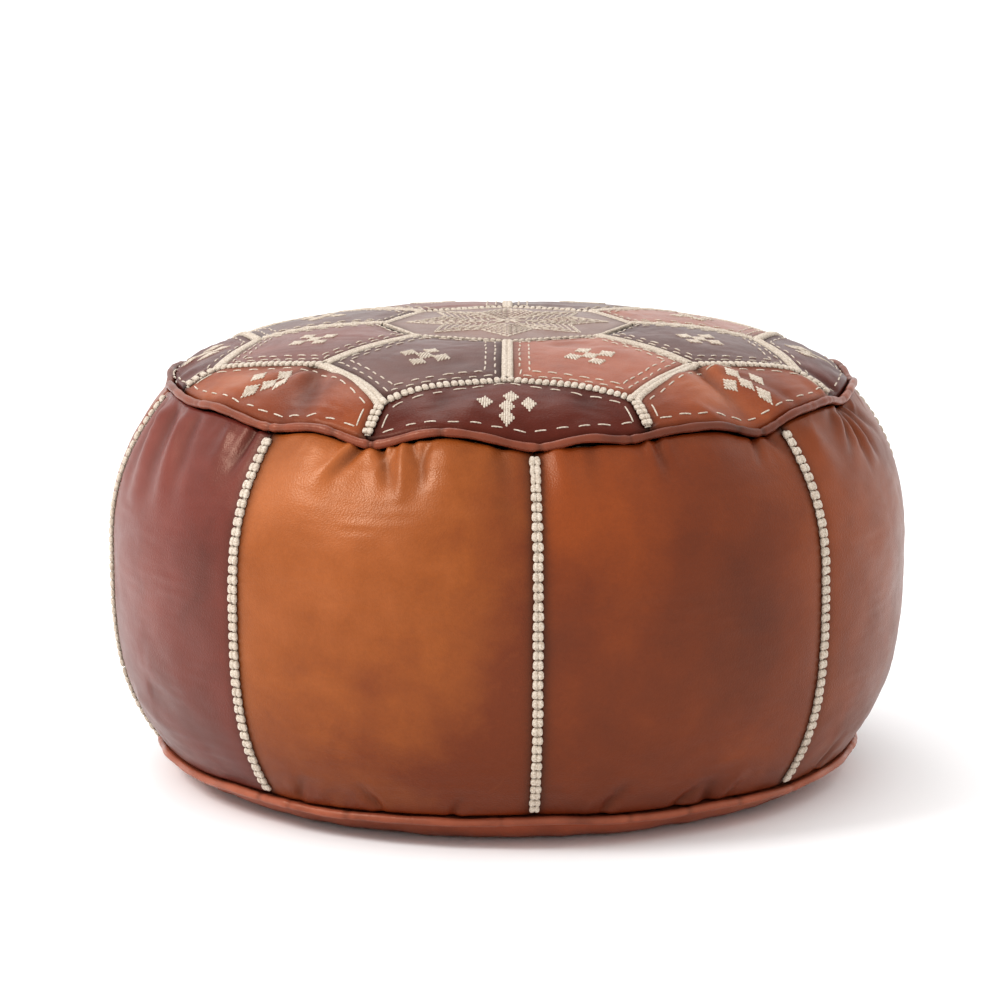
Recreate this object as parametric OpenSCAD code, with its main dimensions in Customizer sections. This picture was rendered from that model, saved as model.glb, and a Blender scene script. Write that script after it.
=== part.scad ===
// Moroccan leather pouf: a round stuffed floor seat with a patchwork top, eight side panels,
// two welts and a zip in its base. Millimetres, +Z up, origin on the floor under the centre.

/* [Outline] */
// Widest radius of the body, at the belly
belly_r = 270; // [250:1:290]
// Height of the belly above the floor
belly_z = 155; // [145:1:165]
// Radius of the seam between the sides and the top
seam_r = 233; // [230:1:238]
// Height of that seam
seam_z = 258; // [252:1:264]
// Rise of the crown above that seam
crown_h = 43.5; // [38:0.5:48]
// Radius of the seam between the sides and the base
foot_r = 237; // [234:1:242]
// Height of that seam
foot_z = 22; // [20:1:26]
// Radius of the flat that rests on the floor
rest_r = 200; // [190:1:206]

/* [Leather] */
// Thickness of the leather
leather_t = 1.6; // [1.2:0.1:1.8]
// Gap between neighbouring pieces, under the braid
seam_gap = 0.6; // [0.4:0.1:1]
// Radius of the welts
welt_r = 3.3; // [3:0.1:3.6]
// Turn of the side seams from the middle of the top's petals, in degrees
side_turn = 4.5; // [0:0.5:8]

/* [Top pattern] */
// Corner radius of the middle medallion
medallion_r = 84.5; // [76:0.5:90]
// Radius where the spokes end
spoke_r = 168; // [160:1:172]
// Radius of the outer corners of the inner petals
point_r = 205.5; // [200:0.5:208]
// Width of the braid over a seam
braid_w = 7; // [5:0.5:8]
// Height of the braid above the leather
braid_h = 2.4; // [1.6:0.2:3]

/* [Zip] */
// Length of the zip's chain
zip_l = 380; // [340:10:390]
// Depth of the sunk channel that the zip lies in
channel_d = 6; // [6:0.5:8]
// Width of the channel's flat roof
channel_w = 36; // [34:1:40]
// Width of the slit between the leather edges
slit_w = 16; // [15:1:20]

/* [Hidden] */
$fn = 48;
petals = 8;
pitch = 360 / petals;
first_spoke = -90;                 // one spoke points to the front, -Y
first_side_seam = first_spoke + side_turn;
join = 0.1;                        // clearance between sewn faces
tail_l = 10.5;                     // reach of the seam allowances from the welt's centre
tail_t = 2;                        // thickness of the welt's own tail
flange_d = 6;                      // depth of the turned-in edges of the side panels
top_welt = [seam_r + 0.5, seam_z + 3.6];
foot_welt = [foot_r + 0.7, foot_z - 3.4];
canvas_t = 0.6;
bag_t = 0.6;
roof_z = channel_d;                // leather face above the zip
tape_z = roof_z + leather_t + join;
tape_t = 0.7;
coil_z = tape_z + tape_t / 2;
coil_r = 1.2;
coil_y = 1.9;
slider_l = 14;
slider_x = zip_l / 2 - 12;         // the slider's place when the zip is closed
tab_l = 28;
tab_t = 1.4;
bail_z = coil_z - 3.55;            // axis that the pull tab turns on

petal_names = ["front", "front_right", "right", "back_right", "back", "back_left", "left", "front_left"];
panel_names = ["a", "b", "c", "d", "e", "f", "g", "h"];

// ---- outline functions: the body's outside runs anticlockwise, so its inside is on the left ----

function side_r(z) = z > belly_z
    ? seam_r + (belly_r - seam_r) * (1 - pow((z - belly_z) / (seam_z - belly_z), 2.5))
    : foot_r + (belly_r - foot_r) * (1 - pow((belly_z - z) / (belly_z - foot_z), 3.2));

function dome_z(r) = seam_z + crown_h * pow(1 - pow(min(r, seam_r) / seam_r, 3.4), 0.65);

function foot_curve_z(r) = (foot_welt[1] - 2.1)
    * pow(max(0, r - rest_r) / (foot_welt[0] - 3.1 - rest_r), 2.2);

function reversed(list) = [for (i = [len(list) - 1:-1:0]) list[i]];

function moved_in(path, d) = [for (i = [0:len(path) - 1])
    let (a = path[max(i - 1, 0)], b = path[min(i + 1, len(path) - 1)], t = (b - a) / norm(b - a))
    [max(0, path[i][0] - d * t[1]), path[i][1] + d * t[0]]];

// A place at a welt: s runs inwards along its tail, w runs from the side panel towards the other piece
function at_top(s, w) = top_welt + [-0.866 * s - 0.5 * w, -0.5 * s + 0.866 * w];
function at_foot(s, w) = foot_welt + [-0.866 * s - 0.5 * w, 0.5 * s - 0.866 * w];

side_path = [for (i = [0:20]) let (z = foot_z + 0.6 + (seam_z - foot_z - 1) * i / 20) [side_r(z), z]];
side_core = [for (p = side_path) if (p[1] > foot_z + 6 && p[1] < seam_z - 6) p];
dome_path = [for (r = [0, 28, 56, 84, 108, 130, 150, 167, 182, 195, 206, 215, 221, 226, 229]) [r, dome_z(r)]];
base_path = [for (r = [0, rest_r, 207, 214, 220, 226, 231]) [r, foot_curve_z(r)]];

face = join + tail_t / 2;          // faces of the tail, where the allowances lie
deep = face + leather_t;

module ring_shell(outer, inner) {
    rotate_extrude() polygon(concat(outer, reversed(inner)));
}

module dome_shell(d0, d1) {
    ring_shell(moved_in(reversed(dome_path), d0), moved_in(reversed(dome_path), d1));
}

// ---- top ----

function polar(r, a) = [r * cos(a), r * sin(a)];

// A convex outline, given anticlockwise, with every edge moved in by d
function inset(points, d) = let (n = len(points)) [for (i = [0:n - 1])
    let (a = points[(i + n - 1) % n], b = points[i], c = points[(i + 1) % n],
         u = (b - a) / norm(b - a), v = (c - b) / norm(c - b),
         nu = [-u[1], u[0]], nv = [-v[1], v[0]])
    b + d * (nu + nv) / (1 + nu * nv)];

module leather_top() {
    outer = concat([for (p = dome_path) p],
                   [top_welt + [-3.1, 2.1], at_top(3.4, face), at_top(tail_l, face)]);
    inner = concat([for (p = reversed(moved_in(reversed(dome_path), leather_t))) p],
                   [top_welt + [-4.7, 1.2], at_top(4.2, deep), at_top(tail_l, deep)]);
    rotate_extrude() polygon(concat(outer, reversed(inner)));
}

module cut_from_top(outline) {
    intersection() {
        leather_top();
        translate([0, 0, seam_z - 20]) linear_extrude(crown_h + 40) polygon(inset(outline, seam_gap / 2));
    }
}

module medallion() {
    color("#6b4a3c") cut_from_top([for (k = [0:petals - 1]) polar(medallion_r, first_spoke + k * pitch)]);
}

module inner_petal(k) {
    a = first_spoke + k * pitch;
    color(k % 2 == 0 ? "#96482c" : "#4c2a28")
        cut_from_top([polar(medallion_r, a), polar(spoke_r, a), polar(point_r, a + pitch / 2),
                      polar(spoke_r, a + pitch), polar(medallion_r, a + pitch)]);
}

module outer_petal(k) {
    a = first_spoke + k * pitch;
    color(k % 2 == 0 ? "#4c2226" : "#9c4a22")
        cut_from_top([polar(spoke_r, a), polar(point_r, a - pitch / 2), polar(seam_r + 25, a - pitch / 2),
                      polar(seam_r + 25, a + pitch / 2), polar(point_r, a + pitch / 2)]);
}

// A band of braid on the dome, over the strip between two outlines or along a straight seam
module on_dome() {
    color("#e4dac6") intersection() {
        dome_shell(-braid_h, -0.05);
        translate([0, 0, seam_z - 20]) linear_extrude(crown_h + 60) children();
    }
}

module strip(p, q, w) {
    d = (q - p) / norm(q - p);
    s = [-d[1], d[0]] * w / 2;
    polygon([p - s, q - s, q + s, p + s]);
}

module medallion_braid() {
    ring = [for (k = [0:petals - 1]) polar(medallion_r, first_spoke + k * pitch)];
    on_dome() difference() {
        polygon(inset(ring, -braid_w / 2));
        polygon(inset(ring, braid_w / 2));
    }
}

module spoke_braids() {
    for (k = [0:petals - 1]) let (a = first_spoke + k * pitch)
        on_dome() strip(polar(medallion_r + braid_w * 0.6, a), polar(spoke_r - braid_w * 0.6, a), braid_w);
}

function zigzag(shift) = [for (k = [0:2 * petals - 1])
    polar((k % 2 == 0 ? spoke_r : point_r) + shift, first_spoke + k * pitch / 2)];

module zigzag_braid() {
    on_dome() difference() {
        polygon(zigzag(braid_w * 0.52));
        polygon(zigzag(-braid_w * 0.52));
    }
}

module rim_braids() {
    for (k = [0:petals - 1]) let (a = first_spoke + (k + 0.5) * pitch)
        on_dome() strip(polar(point_r + braid_w * 0.6, a), polar(seam_r - 6, a), braid_w);
}

// A flat stitched lozenge lying on the dome
module lozenge(r, a, along, across, turn = 0) {
    slope = atan2(dome_z(r - 2) - dome_z(r + 2), 4);
    rotate([0, 0, a]) translate([r, 0, dome_z(r) + 0.25]) rotate([0, slope, 0]) rotate([0, 0, turn])
        linear_extrude(0.8) polygon([[along, 0], [0, across], [-along, 0], [0, -across]]);
}

// Five lozenges in a cross, on each petal of a ring
module motifs(r, a0) {
    color("#e4dac6") for (k = [0:petals - 1]) let (a = a0 + k * pitch) {
        lozenge(r, a, 4.6, 4.2);
        for (s = [-1, 1]) {
            lozenge(r + 9.4 * s, a, 4.4, 4);
            lozenge(norm([r, 10]), a + s * atan(10 / r), 5.2, 4.4);
        }
    }
}

// An outline of a star whose points and notches lie on two circles
function star(tip, notch, turn) = [for (k = [0:2 * petals - 1])
    polar(k % 2 == 0 ? tip : notch, turn + k * pitch / 2)];

module medallion_embroidery() {
    color("#e4dac6") intersection() {
        dome_shell(-0.9, -0.1);
        translate([0, 0, seam_z]) linear_extrude(crown_h + 20) {
            polygon(star(18, 8, first_spoke));
            difference() {
                polygon(star(64, 34, first_spoke));
                polygon(star(54, 27, first_spoke));
            }
        }
    }
}

// ---- sides ----

module side_panel(k) {
    start = first_side_seam + k * pitch;
    gap = seam_gap / 2 / foot_r * 180 / PI;
    turn_in = leather_t / foot_r * 180 / PI;
    outer = concat([at_foot(tail_l, -face), at_foot(3.6, -face)], side_path,
                   [at_top(3.6, -face), at_top(tail_l, -face)]);
    inner = concat([at_foot(tail_l, -deep), at_foot(5, -deep), foot_welt + [-1.2, 5.3]],
                   moved_in(side_core, leather_t),
                   [top_welt + [-1.2, -5.3], at_top(5, -deep), at_top(tail_l, -deep)]);
    flange = [for (p = side_core) if (p[1] > foot_z + 14 && p[1] < seam_z - 14) p];
    color(["#8a4526", "#8a4a30", "#6e3a30", "#8f4a28", "#7a4030", "#5f3530", "#6b3634", "#a35a2c"][k])
        union() {
            rotate([0, 0, start + gap]) rotate_extrude(angle = pitch - 2 * gap)
                polygon(concat(outer, reversed(inner)));
            for (a = [start + gap, start + pitch - gap - turn_in])
                rotate([0, 0, a]) rotate_extrude(angle = turn_in)
                    polygon(concat(moved_in(flange, leather_t / 2),
                                   reversed(moved_in(flange, leather_t + flange_d))));
        }
}

module side_braid(k) {
    wide = braid_w / belly_r * 180 / PI;
    run = [for (p = side_path) if (p[1] < seam_z - 1 && p[1] > foot_z + 1) p];
    color("#e4dac6") rotate([0, 0, first_side_seam + k * pitch - wide / 2]) rotate_extrude(angle = wide)
        polygon(concat(moved_in(run, -braid_h), reversed(moved_in(run, -0.05))));
}

// ---- welts ----

module welt_cover(centre, up) {
    root = welt_r - 0.6;           // where the tail leaves the tube
    color("#8a4630") rotate_extrude() difference() {
        union() {
            translate(centre) circle(welt_r);
            polygon([for (c = [[root, up], [tail_l, up], [tail_l, -up], [root, -up]])
                up > 0 ? at_top(c[0], c[1] * tail_t / 2) : at_foot(c[0], c[1] * tail_t / 2)]);
        }
        translate(centre) circle(welt_r - 1.2);
    }
}

module welt_cord(centre) {
    color("#d8cbb0") rotate_extrude() translate(centre) circle(welt_r - 1.3);
}

// ---- base ----

// Section across the zip: the leather is flat on the floor, then sunk by depth over the zip
module channel_section(depth, raise, top) {
    half = channel_w / 2;
    ramp = [for (i = [0:6]) [half + 27 * (1 - i / 6), raise + (depth - raise) * (1 - cos(180 * i / 6)) / 2]];
    polygon(concat([[300, raise]], ramp, [for (p = reversed(ramp)) [-p[0], p[1]]], [[-300, raise]],
                   [[-300, top], [300, top]]));
}

module above_channel(depth, raise, top) {
    translate([300, 0, 0]) rotate([90, 0, -90]) linear_extrude(600) channel_section(depth, raise, top);
}

module leather_base() {
    outer = concat(base_path, [foot_welt + [-3.1, -2.1], at_foot(3.4, face), at_foot(tail_l, face)]);
    inner = concat(moved_in(base_path, leather_t),
                   [foot_welt + [-4.7, -1.2], at_foot(4.2, deep), at_foot(tail_l, deep)]);
    intersection() {
        ring_shell(outer, inner);
        above_channel(channel_d, -5, 60);
    }
    intersection() {
        difference() {
            above_channel(channel_d, 0, 60);
            above_channel(channel_d + leather_t, leather_t, 70);
        }
        rotate_extrude() polygon(concat(base_path, [[231, 40], [0, 40]]));
    }
}

module base_panel(side) {
    color("#84402a") difference() {
        leather_base();
        translate([-300, side > 0 ? -600 + seam_gap / 2 : -seam_gap / 2, -10]) cube([600, 600, 80]);
        translate([-zip_l / 2 - 6, -slit_w / 2, -10]) cube([zip_l + 12, slit_w, 60]);
    }
}

// ---- zip, lying along X over the middle of the base ----

module zip_tape(side) {
    inner_edge = coil_y + coil_r + 0.02;
    color("#3a2a22") translate([-zip_l / 2 - 12, side > 0 ? inner_edge : -16, tape_z])
        cube([zip_l + 24, 16 - inner_edge, tape_t]);
}

module zip_coil(side) {
    color("#4a382c") translate([-zip_l / 2, side * coil_y, coil_z]) rotate([0, 90, 0])
        cylinder(h = zip_l, r = coil_r, $fn = 32);
}

module zip_slider() {
    plate_y = 5.2;
    color("#b8863c") translate([slider_x, 0, coil_z]) {
        for (s = [-1, 1]) {
            translate([-slider_l / 2, -plate_y, s > 0 ? 1.5 : -2.7]) cube([slider_l, 2 * plate_y, 1.2]);
            for (w = [-1, 1])
                translate([-slider_l / 2, w > 0 ? 3.6 : -plate_y, s > 0 ? 0.65 : -1.6]) cube([slider_l, 1.6, 0.95]);
            translate([s * 3 - 0.7, -1, -5.15]) cube([1.4, 2, 2.5]);
        }
        translate([slider_l / 2 - 4, -0.45, -2]) cube([4, 0.9, 4]);
        translate([-3.7, -1, -5.15]) cube([7.4, 2, 0.8]);
    }
}

module zip_pull_tab() {
    color("#b8863c") translate([slider_x, 0, bail_z]) {
        rotate([90, 0, 0]) cylinder(h = 6.4, r = tab_t / 2, center = true, $fn = 32);
        for (s = [-1, 1])
            translate([-8, s > 0 ? 1.5 : -3.2, -tab_t / 2]) cube([8, 1.7, tab_t]);
        translate([-tab_l, -4, -tab_t / 2]) difference() {
            cube([tab_l - 7, 8, tab_t]);
            translate([4, 4, -1]) cylinder(h = 4, r = 1.6, $fn = 32);
        }
    }
}

module zip_top_stops() {
    color("#b8863c") for (s = [-1, 1])
        translate([zip_l / 2 + 0.1, s > 0 ? 0.4 : -3, coil_z - 1.3]) cube([3, 2.6, 2.6]);
}

module zip_bottom_stop() {
    color("#b8863c") translate([-zip_l / 2 - 3.1, -3, coil_z - 1.3]) cube([3, 6, 2.6]);
}

// ---- inside ----

module top_backing() {
    under = [for (p = dome_path) if (p[0] < 216) p];
    color("#d9cdb4") ring_shell(moved_in(reversed(under), leather_t + 0.2),
                                moved_in(reversed(under), leather_t + 0.2 + canvas_t));
}

bag_path = concat(
    [[0, 2], [rest_r - 10, 2], [rest_r + 3, 4], [rest_r + 14, 9], [222, 20], [226, 32], [238, 43]],
    [for (p = moved_in(side_core, leather_t + flange_d + 0.5)) if (p[1] > 52 && p[1] < 236) p],
    [[233, 246], [221.5, 253], [220, 261], [212, 271]],
    moved_in([for (p = reversed(dome_path)) if (p[0] < 205) p], 2.9));

module bag_volume(d) {
    intersection() {
        rotate_extrude() polygon(concat(moved_in(bag_path, d), [[0, dome_z(0) - 3 - d]]));
        above_channel(12 + d, 2 + d, 400);
    }
}

module inner_bag() {
    color("#e6dfcf") difference() {
        bag_volume(0);
        bag_volume(bag_t);
    }
}

module filling() {
    color("#efe9dc") bag_volume(bag_t + 0.1);
}

medallion();
for (k = [0:petals - 1]) {
    inner_petal(k);
    outer_petal(k);
    side_panel(k);
    side_braid(k);
}
medallion_braid();
spoke_braids();
zigzag_braid();
rim_braids();
medallion_embroidery();
motifs(138, first_spoke + pitch / 2);  // inner_petal_motifs
motifs(203, first_spoke);  // outer_petal_motifs
welt_cover(top_welt, 1);  // top_welt_cover
welt_cord(top_welt);  // top_welt_cord
welt_cover(foot_welt, -1);  // base_welt_cover
welt_cord(foot_welt);  // base_welt_cord
base_panel(-1);  // base_panel_front
base_panel(1);  // base_panel_back
zip_tape(-1);  // zip_tape_front
zip_tape(1);  // zip_tape_back
zip_coil(-1);  // zip_coil_front
zip_coil(1);  // zip_coil_back
zip_slider();
zip_pull_tab();
zip_top_stops();
zip_bottom_stop();
top_backing();
inner_bag();
filling();
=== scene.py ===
import math

import bpy
import numpy as np
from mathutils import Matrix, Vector
from mathutils.bvhtree import BVHTree


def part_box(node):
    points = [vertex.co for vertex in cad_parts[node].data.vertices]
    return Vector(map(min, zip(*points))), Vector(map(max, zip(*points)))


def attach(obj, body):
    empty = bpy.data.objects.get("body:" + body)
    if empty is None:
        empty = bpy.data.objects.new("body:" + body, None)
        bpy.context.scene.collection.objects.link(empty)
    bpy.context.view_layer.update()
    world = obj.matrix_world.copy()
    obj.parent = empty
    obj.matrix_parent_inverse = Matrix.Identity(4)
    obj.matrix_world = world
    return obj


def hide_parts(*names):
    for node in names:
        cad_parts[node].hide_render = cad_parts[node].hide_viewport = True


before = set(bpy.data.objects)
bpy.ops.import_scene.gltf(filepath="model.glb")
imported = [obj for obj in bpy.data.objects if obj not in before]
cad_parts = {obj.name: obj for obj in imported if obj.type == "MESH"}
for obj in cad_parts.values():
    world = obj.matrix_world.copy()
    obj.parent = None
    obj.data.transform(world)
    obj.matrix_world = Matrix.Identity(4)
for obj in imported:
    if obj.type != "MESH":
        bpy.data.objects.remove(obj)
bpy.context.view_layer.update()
BODY = "pouf"

# -------- sizes, in metres

MM = 0.001
PETALS = 8
PITCH = 360 / PETALS
SIDE_TURN = 4.5                  # degrees from a spoke to the side seam beside it
CORD_R = (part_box("top_welt_cord")[1].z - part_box("top_welt_cord")[0].z) / 2
WELT_R = CORD_R + 0.75 * MM
TOP_WELT = (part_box("top_welt_cord")[1].x - CORD_R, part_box("top_welt_cord")[1].z - CORD_R)
FOOT_WELT = (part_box("base_welt_cord")[1].x - CORD_R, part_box("base_welt_cord")[1].z - CORD_R)
SEAM_R, SEAM_Z = TOP_WELT[0] - 0.5 * MM, TOP_WELT[1] - 3.6 * MM
FOOT_R, FOOT_Z = FOOT_WELT[0] - 0.7 * MM, FOOT_WELT[1] + 3.4 * MM
BELLY_R, BELLY_Z = 270 * MM, 155 * MM
CROWN_Z = SEAM_Z + 43.5 * MM
MEDALLION_R, SPOKE_R, POINT_R = 84.5 * MM, 168 * MM, 205.5 * MM
LEATHER = 1.5 * MM
TUCK = 3 * MM                    # how far a panel's edge turns in at a seam
REST_R = 200 * MM                # the flat of the base
ZIP_ROOF = 6 * MM                # how far the zip's channel is sunk into the base

# The top welt isn't level: azimuth of each dip in degrees, its depth in mm and its half width in degrees
RIM_DIPS = ((-158, 6, 6), (-137, 4, 5), (-112, 6, 6), (-85, 4, 5), (-40, 4.5, 6), (-21.5, 8.5, 6),
            (4.5, 7.5, 7), (18.5, 4.5, 5), (43, 9, 6), (71, 3.5, 5), (94, 5, 6), (115, 6, 6),
            (139, 5, 5), (160, 7, 6), (184, 5, 6), (-72, -3.5, 10), (-53, -2, 6), (-9, -1.2, 5), (62, -1, 5))


def wrapped(degrees):
    return (degrees + 180) % 360 - 180


def side_r(z):
    """Radius of the side's outline at a height, between the two welts."""
    above = SEAM_R + (BELLY_R - SEAM_R) * (1 - np.clip((z - BELLY_Z) / (SEAM_Z - BELLY_Z), 0, 1) ** 2.5)
    below = FOOT_R + (BELLY_R - FOOT_R) * (1 - np.clip((BELLY_Z - z) / (BELLY_Z - FOOT_Z), 0, 1) ** 3.2)
    return np.where(z > BELLY_Z, above, below)


def dome_z(r):
    """Height of the top's leather at a radius."""
    return SEAM_Z + (CROWN_Z - SEAM_Z) * (1 - np.clip(r / SEAM_R, 0, 1) ** 3.4) ** 0.65


def rim_shift(azimuth):
    """How far the top welt stands above its mean height, for azimuths in degrees."""
    shift = np.full_like(np.asarray(azimuth, float), 2.2)
    for at, drop, width in RIM_DIPS:
        shift = shift - drop * np.exp(-(wrapped(azimuth - at) / width) ** 2)
    return shift * MM


def rim_pull(azimuth):
    """How far the top welt lies inside or outside its mean circle."""
    return (-6 * np.exp(-(wrapped(azimuth + 84) / 15) ** 2) + 1.0 * np.sin(np.radians(4 * azimuth + 20))) * MM


def sewn_azimuth(azimuth):
    """The side seams aren't quite evenly spaced: moves azimuths so that each seam is where it was sewn."""
    nominal = SIDE_TURN + PITCH * np.arange(-4, 5)
    moved = np.array([0, 2.0, 7.4, 1.0, -0.5, -1.2, -0.6, 0.4, 0])
    return azimuth + np.interp(wrapped(azimuth - SIDE_TURN) + SIDE_TURN, nominal, moved)


def foot_shift(azimuth):
    """How far the base welt stands above its mean height."""
    a = np.radians(azimuth)
    return (0.7 * np.sin(5 * a + 1) + 0.5 * np.sin(9 * a + 2) + 0.4 * np.sin(14 * a)) * MM


def around(r, azimuth, z):
    """Points at radius r and an azimuth in degrees: 0 is the front, -Y, and 90 the right, +X."""
    a = np.radians(azimuth)
    return np.stack(np.broadcast_arrays(r * np.sin(a), -r * np.cos(a), z), -1)


def circle(radius, count):
    turns = np.linspace(0, 2 * math.pi, count, endpoint=False)
    return [(radius * math.cos(t), radius * math.sin(t)) for t in turns]


def lengths_along(path):
    """How far along a path each of its points lies."""
    return np.concatenate([[0], np.cumsum(np.linalg.norm(np.diff(path, axis=0), axis=1))])


def resampled(path, step):
    """Points about a step apart along a path; columns past the third are carried along."""
    path = np.asarray(path, float)
    along = lengths_along(path[:, :3])
    at = np.linspace(0, along[-1], max(2, int(round(along[-1] / step)) + 1))
    return np.stack([np.interp(at, along, column) for column in path.T], -1)


def unit(v):
    return v / np.maximum(np.linalg.norm(v, axis=-1, keepdims=True), 1e-12)


# -------- meshes

def new_object(name, points, faces, smooth=True):
    mesh = bpy.data.meshes.new(name)
    mesh.from_pydata(np.asarray(points).tolist(), [], faces)
    mesh.update()
    if smooth:
        mesh.shade_smooth()
    obj = bpy.data.objects.new(name, mesh)
    bpy.context.scene.collection.objects.link(obj)
    return obj


def grid_faces(rows, columns, closed=False, start=0, flip=False):
    """Quads of a grid of points stored row by row; closed joins the last column to the first."""
    i = np.arange(rows - 1)[:, None]
    j = np.arange(columns if closed else columns - 1)[None]
    k = (j + 1) % columns
    quads = np.stack([i * columns + j, i * columns + k, (i + 1) * columns + k, (i + 1) * columns + j], -1)
    quads = quads.reshape(-1, 4) + start
    return (quads[:, ::-1] if flip else quads).tolist()


def grid_normals(grid, closed=False):
    """Outward normals of a grid whose rows climb and whose columns run anticlockwise from above."""
    if closed:
        across = np.roll(grid, -1, 1) - np.roll(grid, 1, 1)
    else:
        across = np.gradient(grid, axis=1)
    return unit(np.cross(across, np.gradient(grid, axis=0)))


def refined(grid, axis):
    """Twice as many cells along an axis, on a smooth curve through the points."""
    g = np.moveaxis(grid, axis, 0)
    before, after = 2 * g[:1] - g[1:2], 2 * g[-1:] - g[-2:-1]
    p = np.concatenate([before, g, after])
    middle = (9 * (p[1:-2] + p[2:-1]) - p[:-3] - p[3:]) / 16
    out = np.empty((2 * len(g) - 1,) + g.shape[1:])
    out[::2], out[1::2] = g, middle
    return np.moveaxis(out, 0, axis)


def attribute(obj, name, values):
    layer = obj.data.attributes.new(name, "FLOAT", "POINT")
    layer.data.foreach_set("value", np.asarray(values, np.float32).ravel())


def finished(obj, material, nodes=()):
    obj.data.materials.append(material)
    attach(obj, BODY)
    if nodes:
        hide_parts(*nodes)
    return obj


def closed_piece(name, outer, inner):
    """A closed mesh between two grids of points, its outer and its inner surface."""
    rows, columns = outer.shape[:2]
    count = rows * columns
    ids = np.arange(count).reshape(rows, columns)
    rim = np.concatenate([ids[0, :-1], ids[:-1, -1], ids[-1, :0:-1], ids[:0:-1, 0]])
    faces = grid_faces(rows, columns) + grid_faces(rows, columns, start=count, flip=True)
    faces += [[int(b), int(a), int(a + count), int(b + count)] for a, b in zip(rim, np.roll(rim, -1))]
    return new_object(name, np.concatenate([outer.reshape(-1, 3), inner.reshape(-1, 3)]), faces)


def leather_panel(name, grid, tucked, tone=0.0, crease=0.0, shadow=6.5 * MM):
    """A closed leather piece from its outer surface. tucked says which edges turn inwards into a seam:
    first row, last row, first column, last column. shadow is how far the painted shade of a seam reaches."""
    normal = grid_normals(grid)
    rows, columns = grid.shape[:2]
    step = [np.linalg.norm(np.diff(grid, axis=a), axis=-1) for a in (0, 1)]
    down = np.cumsum(np.concatenate([np.zeros((1, columns)), step[0]]), 0)
    right = np.cumsum(np.concatenate([np.zeros((rows, 1)), step[1]], 1), 1)
    edges = ((np.s_[0], down, np.roll(grid, -1, 0)),
             (np.s_[-1], down[-1:] - down, np.roll(grid, 1, 0)),
             (np.s_[:, 0], right, np.roll(grid, -1, 1)),
             (np.s_[:, -1], right[:, -1:] - right, np.roll(grid, 1, 1)))
    near, side = np.ones((rows, columns)), np.zeros_like(grid)
    for on, (edge, gap, neighbour) in zip(tucked, edges):
        if on:
            near = np.minimum(near, gap)
            side[edge] += unit((neighbour - grid)[edge])
    side = unit(side)
    outer = grid + side * 0.35 * MM
    inner = outer - normal * LEATHER + side * 1.1 * MM
    pads = tucked[:2], tucked[2:]

    def padded(a):
        return np.pad(a, pads + ((0, 0),) * (a.ndim - 2), mode="edge")

    flap = np.pad(np.zeros((rows, columns)), pads, constant_values=1)[..., None] * padded(normal)
    obj = closed_piece(name, padded(outer) - flap * TUCK, padded(inner) - flap * (TUCK - LEATHER))
    # seam and crease are painted shade for the material, along the tucked edges and in the valleys of folds;
    # tone moves the colour lighter or darker
    for key, values in (("seam", np.exp(-(near / shadow) ** 2)), ("tone", tone), ("crease", crease)):
        attribute(obj, key, np.tile(padded(np.broadcast_to(values, near.shape)).ravel(), 2))
    return obj


def skin_tree(grids):
    """A BVH of outer surfaces, for laying threads on them."""
    points, faces = [], []
    for g in grids:
        faces += grid_faces(*g.shape[:2], start=sum(len(p) for p in points))
        points.append(g.reshape(-1, 3))
    return BVHTree.FromPolygons(np.concatenate(points).tolist(), faces)


# -------- the stuffed skin, by cloth simulation

SIM_FRAMES, SPARE_CLOTH = 18, 0.05
COLUMNS = 384                    # cells round each ring of cloth
CELLS = COLUMNS // PETALS


def simulate(grid, pin, slack, pressure, cap):
    """Blows a closed ring of cloth up from inside. pin and slack are weights per point: where slack is 1 the
    cloth has SPARE_CLOTH more than its grid. cap is the furthest that a point may go."""
    rows, columns = grid.shape[:2]
    obj = new_object("skin", grid.reshape(-1, 3), grid_faces(rows, columns, closed=True))
    for group_name, weights in (("pin", pin), ("slack", slack)):
        group = obj.vertex_groups.new(name=group_name)
        levels = np.round(weights.ravel(), 2)
        for weight in np.unique(levels):
            group.add(np.flatnonzero(levels == weight).tolist(), float(weight), "REPLACE")
    cloth = obj.modifiers.new("cloth", "CLOTH")
    s = cloth.settings
    s.quality = 5
    s.mass = 0.4
    s.tension_stiffness = s.compression_stiffness = 40
    s.shear_stiffness = 15
    s.bending_stiffness = 4
    s.tension_damping = s.compression_damping = s.shear_damping = 25
    s.bending_damping = 5
    s.air_damping = 4
    s.use_pressure = True
    s.uniform_pressure_force = pressure
    s.effector_weights.gravity = 0
    s.vertex_group_mass = "pin"
    s.pin_stiffness = 2
    s.vertex_group_shrink = "slack"
    s.shrink_min = 0.0
    s.shrink_max = -SPARE_CLOTH
    cloth.point_cache.frame_start, cloth.point_cache.frame_end = 1, SIM_FRAMES
    scene = bpy.context.scene
    for f in range(1, SIM_FRAMES + 1):
        scene.frame_set(f)
    shape = obj.evaluated_get(bpy.context.evaluated_depsgraph_get()).to_mesh()
    flat = np.empty(len(shape.vertices) * 3)
    shape.vertices.foreach_get("co", flat)
    mesh = obj.data
    bpy.data.objects.remove(obj)
    bpy.data.meshes.remove(mesh)
    scene.frame_set(1)
    move = flat.reshape(rows, columns, 3) - grid
    far = np.linalg.norm(move, axis=-1, keepdims=True)
    return grid + move * cap * np.tanh(far / cap) / np.maximum(far, 1e-9)


def seam_distance(azimuth, start):
    """Degrees to the nearest of the eight seams that start at an azimuth."""
    return np.abs((azimuth - start + PITCH / 2) % PITCH - PITCH / 2)


def bumpy(azimuth, seed, knots, low):
    """A smooth random factor round the ring, from low to 1."""
    values = np.random.default_rng(seed).uniform(low, 1, knots)
    return np.interp(azimuth % 360, np.linspace(0, 360, knots + 1), np.append(values, values[0]))


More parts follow.
